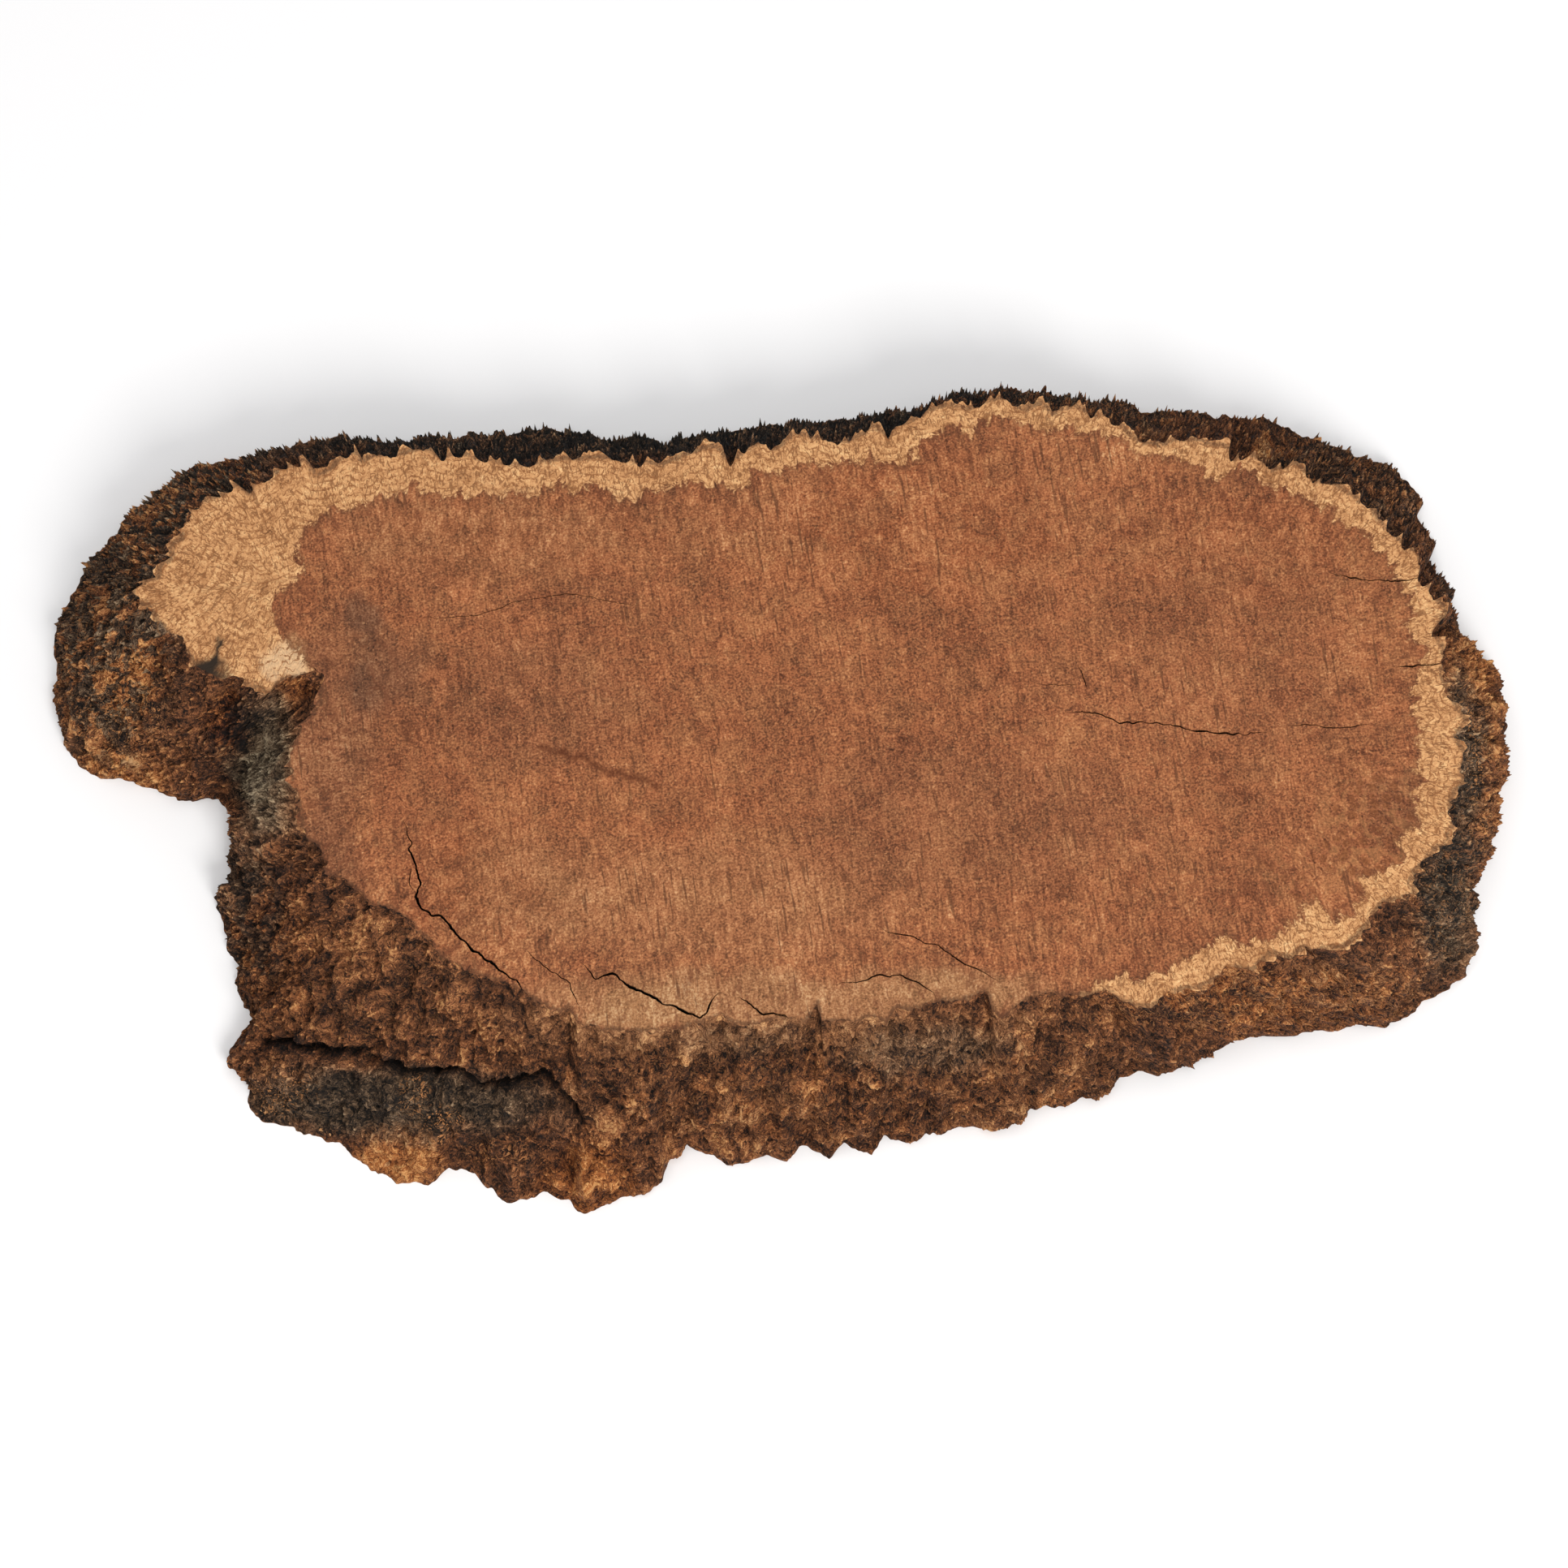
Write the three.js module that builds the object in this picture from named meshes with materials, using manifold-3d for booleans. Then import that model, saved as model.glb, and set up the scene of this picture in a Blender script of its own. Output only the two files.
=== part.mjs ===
import * as THREE from 'three';
import { mergeVertices } from 'three/addons/utils/BufferGeometryUtils.js';
import Module from 'manifold-3d';

// A slice sawn from a mallee burl, lying on the larger of its two sawn faces.
// Millimetres, +X along the slice, +Z up, origin on the ground under its middle.

// Driving dimensions of the slice.
const THICKNESS = 45;
const MIDDLE = [-1.6, 10.6];

// Height left clear under the sawn face, and over the ground, by bark between its two rims.
const RIM_CLEAR = 0.4;

// How far the bark swells out between its rims.
const SWELL = 4.5;

// Lumps about 35 mm across and knobs about 13 mm across: a height, and two crossing waves,
// each as radians per millimetre along x, y and z, then a phase.
const LUMPS = { height: 2.6, waves: [[0.19, 0.07, 0, 0.9], [-0.05, 0.16, 0.12, 2.1]] };
const KNOBS = { height: 1.7, waves: [[0.47, -0.21, 0.3, 0], [0.25, 0.43, -0.33, 1.7]] };

// The ledge low on the south-west flank. It fades in where the foot passes these x and y.
// Widths and places are shares of the way down the flank, heights and depths millimetres.
const LEDGE = {
  fadeX: [-62, -82],
  fadeY: [-58, -78],
  creaseAt: 0.42,
  creaseDrop: 0.0036,
  creaseDepth: 5.5,
  creaseWidth: 0.07,
  below: 0.24,
  height: 6.5,
  width: 0.15,
};

// A pit in the west lobe, and two clefts down the south flank, placed by the foot's x.
const PIT = { x: -182, y: 31, radius: 5.5, depth: 5 };
const CLEFTS = [{ footX: -69, width: 3, depth: 3 }, { footX: 117, width: 4, depth: 3 }];

// Share of the flank, at its top and its foot, over which lumps grow from the rim.
const RIM_SHARE = 0.12;

// Shares of the way down the flank where its rows of facets lie.
const ROWS = [0, 0.06, 0.15, 0.26, 0.38, 0.5, 0.62, 0.74, 0.85, 0.94, 1];

// Spines of the burl: how many, their size, and how deep their roots are sunk.
const SPINE_COUNT = 380;
const SPINE_RADIUS = 1.3;
const SPINE_HEIGHT = [1.8, 3.4];
const SPINE_ROOT = 3;
const SPINE_LEAN = 0.5;
const SPINE_SHARES = [0.08, 0.92];
const SPINE_JITTER = 0.1;
const GOLDEN_STEP = 0.618034;
const SEED = 20;

// Ribs of the bark flank, clockwise from the notch in the west side, as x and y where
// the rib leaves the sawn face, then x and y where it meets the ground.
const RIBS = [
  [-153, 37, -189, 3], [-160, 37, -192, 6], [-166, 35, -196, 7], [-169, 31.5, -200, 6],
  [-173, 33, -205, 6], [-179, 35, -209, 8], [-186, 36.5, -214, 10], [-189, 39.5, -219, 12],
  [-195, 42, -225, 14], [-198, 46, -232, 13.5], [-203, 52, -237, 16], [-207, 56, -242, 22],
  [-210, 61, -246, 31], [-214, 62, -248, 40], [-216, 66, -249, 50], [-212, 70, -250, 60],
  [-207.5, 71, -249, 68], [-207, 75, -247, 75], [-203, 78, -244, 81], [-204, 82, -241, 89],
  [-200, 85, -237, 94], [-203, 88, -233, 98], [-199, 91, -230, 104], [-197, 96, -226, 109],
  [-192, 99, -220, 113], [-187, 100, -216, 118], [-183, 104, -210, 122], [-178, 100, -205, 126],
  [-177, 104, -200, 127.5], [-173, 106, -194, 128], [-169, 109, -188, 129.5], [-163, 111, -182, 130],
  [-160, 113, -177, 131], [-156, 107, -171, 133.5], [-152, 109, -165, 136], [-146, 115, -159, 136],
  [-143, 116, -154, 137], [-141, 112, -149, 136], [-137, 114, -145, 136], [-130, 114, -138, 135],
  [-124, 116, -131, 135.5], [-119, 116.5, -125, 136.5], [-114, 113, -119, 137], [-110, 115, -113, 137],
  [-106, 114, -108, 138.5], [-101, 112.5, -103, 138], [-93, 111, -95, 138], [-88, 110.5, -89, 139],
  [-80, 112, -82, 140], [-73, 113, -75, 138], [-65, 113, -67, 138], [-60, 113.5, -61, 135],
  [-52, 112, -53, 137], [-45, 111.5, -46, 136], [-41, 111, -40, 134], [-34, 114, -35, 137],
  [-27.5, 116.5, -28, 138], [-22, 117, -22, 139], [-18, 111.5, -17, 139], [-12, 117, -11, 140],
  [-6, 119.5, -5, 141], [-3, 116.5, -1, 141], [4, 122, 5, 142], [9, 120.5, 11, 142.5],
  [14, 120, 16, 143], [21, 119, 22, 143.5], [27, 122, 28, 144.5], [30, 125, 32, 145],
  [35, 120.5, 37, 146], [38, 125, 41, 146.5], [43, 126.5, 46, 146], [50, 131, 52, 149.5],
  [54, 132, 57, 151], [62, 130.5, 64, 152.5], [66, 133, 70, 153], [75, 134.5, 78, 155],
  [80, 130, 83, 153], [86, 133, 90, 153], [90, 129, 95, 152.5], [98, 132, 102, 150.5],
  [104, 128, 108, 150], [109.5, 129, 114, 149.5], [113, 124.5, 119, 149], [117, 120.5, 124, 147],
  [121, 118.5, 129, 146], [126, 117.5, 134, 147], [131, 120, 139, 146.5], [138, 119.5, 146, 145.5],
  [142, 118, 151, 144], [149, 117, 157, 145], [150, 113, 162, 144], [156, 115, 167, 143.5],
  [160, 112, 172, 142], [163, 109, 177, 139.5], [168, 110, 182, 137], [171, 112, 187, 134.5],
  [177, 105, 193, 132], [184, 104, 200, 130], [190, 99.5, 206, 128], [196, 96, 212, 125],
  [199, 90, 219, 118], [203, 86, 221, 112], [207, 82.5, 219, 108.5], [211, 79, 222, 103],
  [211.5, 75, 225, 98], [211, 71, 222, 91], [213, 69, 225, 87], [215, 65, 229, 83],
  [218, 61, 230, 78], [219, 58, 227, 74], [216, 55, 231, 69], [215, 51, 234, 61],
  [217, 47, 238, 55], [218, 43, 242, 50], [216, 37, 242, 45], [219, 31, 244, 38],
  [221, 26, 246, 33], [224, 22, 245, 27], [220, 16, 245, 21], [223, 10, 244, 15],
  [221, 4, 242, 9], [222.5, 1, 242, 4], [219, -2, 241, 0], [217, -7, 239, -5],
  [219, -12, 236.5, -10], [216, -17, 235.5, -15], [217, -20, 234, -21], [212, -21, 230, -25],
  [209, -25, 232, -31], [204, -30, 230, -36], [203, -33, 231, -40], [205, -37, 232.5, -44],
  [200, -38, 230, -49], [195, -39, 228, -54], [192, -41, 222, -59], [189, -46, 216, -62],
  [186, -50, 211, -66], [181, -54, 206, -69.5], [174, -55, 200, -72], [171, -56.5, 194, -71.5],
  [168, -54, 190, -70.5], [163, -58, 184, -73], [157, -56, 176, -73], [151, -62, 170, -75],
  [143, -61, 162, -75], [141, -64, 155, -75.5], [134, -67.5, 147, -78], [128, -68, 140, -81.5],
  [124, -70, 134, -83], [118, -74, 130, -87], [113, -73.5, 124, -88.5], [107, -71, 118, -87],
  [104, -69, 112, -89.5], [98, -70, 105, -94], [90, -70, 98, -96], [82, -69.5, 90, -99],
  [75, -74, 82, -99.5], [70, -78, 76, -105], [67, -75, 71, -106], [65, -69, 66, -106],
  [57, -72, 60, -105], [50, -72, 52, -108.5], [45, -74, 47, -107.5], [40, -75, 42, -110.5],
  [36, -74, 37, -110], [33, -79, 33, -108], [27, -77, 29, -115], [24, -79, 24, -113],
  [18, -78.5, 20, -111], [12, -79, 15, -115.5], [10.5, -73, 9, -112], [7, -79, 5, -112],
  [1, -78, 1, -117], [-4, -78, -6, -115], [-9, -80, -11, -117], [-16, -79.5, -17, -119],
  [-20, -77, -22, -116], [-27, -79, -28, -113.5], [-33, -81, -32, -112], [-40, -81.5, -38, -117],
  [-45, -82, -40, -123], [-51, -82, -46, -128], [-56, -81.5, -53, -129], [-60, -81, -59, -132],
  [-66, -80, -66, -134.5], [-69, -74, -71, -130], [-72, -76, -78, -127], [-76, -74, -85, -129.5],
  [-80, -72, -91, -131], [-85, -68.5, -96, -126], [-90, -66, -103, -121], [-95, -64.5, -110, -119],
  [-100, -63, -117, -124.5], [-104, -61.5, -126, -124.5], [-108, -59.5, -135, -120.5],
  [-111, -57, -141, -115], [-114, -53, -149, -110.5], [-117, -50, -158, -108], [-120, -47, -165, -105],
  [-122.5, -45, -173, -104], [-125, -43, -177.5, -97], [-128, -41, -178, -90], [-131, -41, -182, -85],
  [-134, -40, -183, -78], [-136, -38, -177, -70], [-138, -36, -180, -65], [-140, -34, -184, -57],
  [-143, -32.5, -182, -51], [-146, -31, -187, -45], [-149, -29, -188, -37], [-150, -25, -192, -28],
  [-152, -20, -185, -24], [-156, -18, -187, -14], [-157, -12, -186, -9], [-159, -4, -187, -4],
  [-161, 4, -186.5, -1], [-163, 10, -186, -0.2], [-160, 14, -186.4, 0.4], [-159, 20, -187, 1],
  [-155, 24, -187.6, 1.5], [-152, 28, -188, 2], [-152, 32, -188.5, 2.5],
];

// Drying cracks in the sawn face, each a width, a depth and its path.
const CRACKS = [
  {
    width: 1.3,
    depth: 9,
    path: [[-124, -12], [-121, -20], [-119, -29], [-119, -38], [-114, -44], [-106, -50], [-98, -57],
      [-90, -63], [-84, -69], [-82, -75]],
  },
  {
    width: 1.8,
    depth: 10,
    path: [[-66, -59], [-61, -65], [-55, -63], [-46, -69], [-35, -73.5], [-27, -78], [-21, -69.5],
      [-12, -72], [-7, -77], [0, -77], [5, -81]],
  },
  {
    width: 1,
    depth: 6,
    path: [[14, -67], [30, -64], [37, -63.5], [44, -67], [50, -73]],
  },
  {
    width: 0.9,
    depth: 6,
    path: [[29, -47], [41, -50.5], [50, -54], [58, -60], [70, -66]],
  },
  {
    width: 1.1,
    depth: 7,
    path: [[89, 24.5], [104, 24], [114, 21.5], [124, 20.5], [147, 16.5], [162, 19], [180, 19], [193, 20.5]],
  },
];
const CRACK_TIP = 0.3;
const CRACK_PROUD = 1.5;

// A repeatable random draw from 0 to 1.
function randomDraws(seed) {
  let state = seed;
  return () => {
    state = (state * 1664525 + 1013904223) % 4294967296;
    return state / 4294967296;
  };
}

// 0 at "from", 1 at "to", smooth between them.
function smooth(from, to, value) {
  const share = Math.min(1, Math.max(0, (value - from) / (to - from)));
  return share * share * (3 - 2 * share);
}

// A rounded bump of height 1 and half-width "width" about "centre".
function bump(value, centre, width) {
  return Math.exp(-(((value - centre) / width) ** 2));
}

// The product of two crossing waves, from minus to plus their height.
function crossing({ height, waves }, point) {
  return waves.reduce(
    (product, [perX, perY, perZ, phase]) =>
      product * Math.sin(perX * point.x + perY * point.y + perZ * point.z + phase),
    height,
  );
}

// The ledge's height over the flank, less its crease, for a foot at x and y.
function ledge(footX, footY, share) {
  const fade = smooth(...LEDGE.fadeX, footX) * smooth(...LEDGE.fadeY, footY);
  const crease = LEDGE.creaseAt + LEDGE.creaseDrop * (CLEFTS[0].footX - footX);
  const stand = LEDGE.height * bump(share, crease + LEDGE.below, LEDGE.width);
  return fade * (stand - LEDGE.creaseDepth * bump(share, crease, LEDGE.creaseWidth));
}

// Height of the bark over the straight line from the sawn face to the ground: a swell, lumps,
// knobs and the ledge, less the pit and the clefts.
function relief(point, footX, footY, share) {
  const ends = Math.min(1, share / RIM_SHARE, (1 - share) / RIM_SHARE);
  const swell = SWELL * 4 * share * (1 - share);
  const pit = PIT.depth * bump(Math.hypot(point.x - PIT.x, point.y - PIT.y), 0, PIT.radius);
  const clefts = footY > 0 ? 0 : CLEFTS.reduce(
    (sum, { footX: at, width, depth }) => sum + depth * bump(footX, at, width),
    0,
  );
  const heights = crossing(LUMPS, point) + crossing(KNOBS, point) + ledge(footX, footY, share);
  return swell + ends * (heights - pit - clefts);
}

// The point a share of the way down a rib, and the direction the bark faces there.
function flankPoint(rib, share) {
  const [topX, topY, footX, footY] = rib;
  const run = Math.hypot(footX - topX, footY - topY);
  const slant = Math.hypot(run, THICKNESS);
  const facing = new THREE.Vector3(
    ((footX - topX) / run) * (THICKNESS / slant),
    ((footY - topY) / run) * (THICKNESS / slant),
    run / slant,
  );
  const point = new THREE.Vector3(
    THREE.MathUtils.lerp(topX, footX, share),
    THREE.MathUtils.lerp(topY, footY, share),
    THICKNESS * (1 - share),
  );
  if (share > 0 && share < 1) {
    point.addScaledVector(facing, relief(point, footX, footY, share));
    point.z = THREE.MathUtils.clamp(point.z, RIM_CLEAR, THICKNESS - RIM_CLEAR);
  }
  return { point, facing };
}

// A closed mesh from its points and triangles.
function meshOf(points, triangles) {
  const geometry = new THREE.BufferGeometry();
  geometry.setAttribute('position', new THREE.Float32BufferAttribute(points.flat(), 3));
  geometry.setIndex(triangles.flat());
  return geometry;
}

// The whole slice before it cracked: two flat faces and the bark between them.
function sliceBlank() {
  const count = RIBS.length;
  const points = [];
  const triangles = [];
  for (const share of ROWS) {
    for (const rib of RIBS) {
      points.push(flankPoint(rib, share).point.toArray());
    }
  }
  for (let row = 0; row + 1 < ROWS.length; row++) {
    for (let column = 0; column < count; column++) {
      const next = (column + 1) % count;
      const [a, b] = [row * count + column, row * count + next];
      const [c, d] = [a + count, b + count];
      triangles.push([a, b, d], [a, d, c]);
    }
  }
  const top = RIBS.map(([x, y]) => new THREE.Vector2(x, y));
  for (const [a, b, c] of THREE.ShapeUtils.triangulateShape(top, [])) {
    triangles.push([a, b, c]);
  }
  const foot = RIBS.map(([, , x, y]) => new THREE.Vector2(x, y));
  const base = (ROWS.length - 1) * count;
  for (const [a, b, c] of THREE.ShapeUtils.triangulateShape(foot, [])) {
    triangles.push([base + a, base + c, base + b]);
  }
  return meshOf(points, triangles);
}

// A blade with a V section along a crack's path, thin at both tips.
function crackBlade({ width, depth, path }) {
  const points = [];
  const triangles = [];
  const last = path.length - 1;
  path.forEach(([x, y], index) => {
    const [beforeX, beforeY] = path[Math.max(0, index - 1)];
    const [afterX, afterY] = path[Math.min(last, index + 1)];
    const length = Math.hypot(afterX - beforeX, afterY - beforeY);
    const tip = index === 0 || index === last;
    const half = (tip ? CRACK_TIP : width) / 2;
    const across = [(-(afterY - beforeY) / length) * half, ((afterX - beforeX) / length) * half];
    points.push([x + across[0], y + across[1], THICKNESS + CRACK_PROUD]);
    points.push([x - across[0], y - across[1], THICKNESS + CRACK_PROUD]);
    points.push([x, y, THICKNESS - (tip ? depth / 3 : depth)]);
    if (index > 0) {
      const base = index * 3;
      for (const [a, b] of [[0, 1], [1, 2], [2, 0]]) {
        triangles.push([base - 3 + a, base - 3 + b, base + b], [base - 3 + a, base + b, base + a]);
      }
    }
  });
  triangles.push([0, 2, 1], [last * 3, last * 3 + 1, last * 3 + 2]);
  return meshOf(points, triangles);
}

// One three-sided spine, from a root inside the bark to its tip.
function spine(rib, share, height, lean, turn) {
  const { point, facing } = flankPoint(rib, share);
  const direction = facing.clone().add(lean).normalize();
  const cone = new THREE.ConeGeometry(SPINE_RADIUS, height + SPINE_ROOT, 3);
  cone.rotateY(turn);
  cone.translate(0, (height - SPINE_ROOT) / 2, 0);
  cone.applyQuaternion(new THREE.Quaternion().setFromUnitVectors(new THREE.Vector3(0, 1, 0), direction));
  cone.translate(point.x, point.y, point.z);
  cone.computeBoundingBox();
  return cone;
}

// Distance from each rib to the next, halfway down the flank.
function ribSteps() {
  return RIBS.map((rib, index) => {
    const next = RIBS[(index + 1) % RIBS.length];
    return Math.hypot(next[0] + next[2] - rib[0] - rib[2], next[1] + next[3] - rib[1] - rib[3]) / 2;
  });
}

// The rib a distance round the slice, between the two that are drawn there.
function ribAt(distance, steps) {
  let left = distance;
  let index = 0;
  while (left > steps[index]) {
    left -= steps[index];
    index += 1;
  }
  const next = RIBS[(index + 1) % RIBS.length];
  const part = left / steps[index];
  return RIBS[index].map((value, place) => THREE.MathUtils.lerp(value, next[place], part));
}

// Spines dealt out evenly round the slice and up its flank, none past the sawn faces.
function spines() {
  const draw = randomDraws(SEED);
  const steps = ribSteps();
  const girth = steps.reduce((sum, step) => sum + step, 0);
  const list = [];
  for (let number = 0; number < SPINE_COUNT; number++) {
    const rib = ribAt(((number + draw()) / SPINE_COUNT) * girth, steps);
    const dealt = (number * GOLDEN_STEP + SPINE_JITTER * draw()) % 1;
    const height = THREE.MathUtils.lerp(...SPINE_HEIGHT, draw());
    const lean = new THREE.Vector3(draw() - 0.5, draw() - 0.5, draw() - 0.5).multiplyScalar(SPINE_LEAN);
    const cone = spine(rib, THREE.MathUtils.lerp(...SPINE_SHARES, dealt), height, lean, draw() * Math.PI);
    const { min, max } = cone.boundingBox;
    if (min.z > RIM_CLEAR && max.z < THICKNESS - RIM_CLEAR) {
      list.push(cone);
    }
  }
  return list;
}

const wasm = await Module();
wasm.setup();

function solidOf(geometry) {
  const bare = geometry.clone();
  bare.deleteAttribute('normal');
  bare.deleteAttribute('uv');
  const merged = mergeVertices(bare, 1e-4);
  return new wasm.Manifold(new wasm.Mesh({
    numProp: 3,
    vertProperties: new Float32Array(merged.attributes.position.array),
    triVerts: new Uint32Array(merged.index.array),
  }));
}

function geometryOf(solid) {
  const { vertProperties, triVerts } = solid.getMesh();
  const geometry = new THREE.BufferGeometry();
  geometry.setAttribute('position', new THREE.BufferAttribute(new Float32Array(vertProperties), 3));
  geometry.setIndex(new THREE.BufferAttribute(new Uint32Array(triVerts), 1));
  geometry.computeVertexNormals();
  return geometry;
}

function burlSlice() {
  let solid = solidOf(sliceBlank());
  for (const cone of spines()) {
    solid = solid.add(solidOf(cone));
  }
  for (const crack of CRACKS) {
    solid = solid.subtract(solidOf(crackBlade(crack)));
  }
  const wood = new THREE.MeshStandardMaterial({ color: 0x96623f, roughness: 0.8, metalness: 0 });
  const mesh = new THREE.Mesh(geometryOf(solid), wood);
  mesh.name = 'burl_slice';
  mesh.position.set(-MIDDLE[0], -MIDDLE[1], 0);
  return mesh;
}

const part = new THREE.Group();
part.add(burlSlice());

export default part;
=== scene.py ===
"""A slice sawn from a mallee burl, lying on its larger sawn face on a pale floor.

Numbers are millimetres in the part's own axes, +X along the slice and +Z up, and
become metres where a mesh is made.
"""
import math

import bpy
import numpy as np
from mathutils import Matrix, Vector


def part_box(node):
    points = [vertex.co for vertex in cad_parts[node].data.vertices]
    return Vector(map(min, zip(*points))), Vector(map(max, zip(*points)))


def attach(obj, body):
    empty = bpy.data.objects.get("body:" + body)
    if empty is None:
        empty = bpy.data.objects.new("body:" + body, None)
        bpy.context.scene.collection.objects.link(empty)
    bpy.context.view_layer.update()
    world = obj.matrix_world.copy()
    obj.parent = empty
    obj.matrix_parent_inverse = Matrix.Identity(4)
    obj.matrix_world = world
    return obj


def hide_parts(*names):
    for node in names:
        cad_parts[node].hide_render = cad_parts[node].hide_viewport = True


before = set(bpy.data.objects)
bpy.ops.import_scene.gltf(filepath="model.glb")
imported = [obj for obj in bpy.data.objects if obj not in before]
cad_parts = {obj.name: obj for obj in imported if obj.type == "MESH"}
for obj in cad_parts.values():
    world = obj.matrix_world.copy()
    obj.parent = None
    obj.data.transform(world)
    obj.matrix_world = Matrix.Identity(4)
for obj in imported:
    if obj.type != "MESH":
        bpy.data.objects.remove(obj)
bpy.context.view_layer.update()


# A millimetre in metres, the slice's thickness, and the point of the drawing that is the origin.
METRE = 0.001
THICKNESS = 45.0
MIDDLE = np.array([-1.6, 10.6])

# The photo looks down 15 degrees off the vertical. In it, what lies on the ground is smaller
# by this share than what lies on the sawn face, and falls this many millimetres further south.
GROUND_SMALLER = 0.0385
GROUND_SHIFT = 12.06

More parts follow.
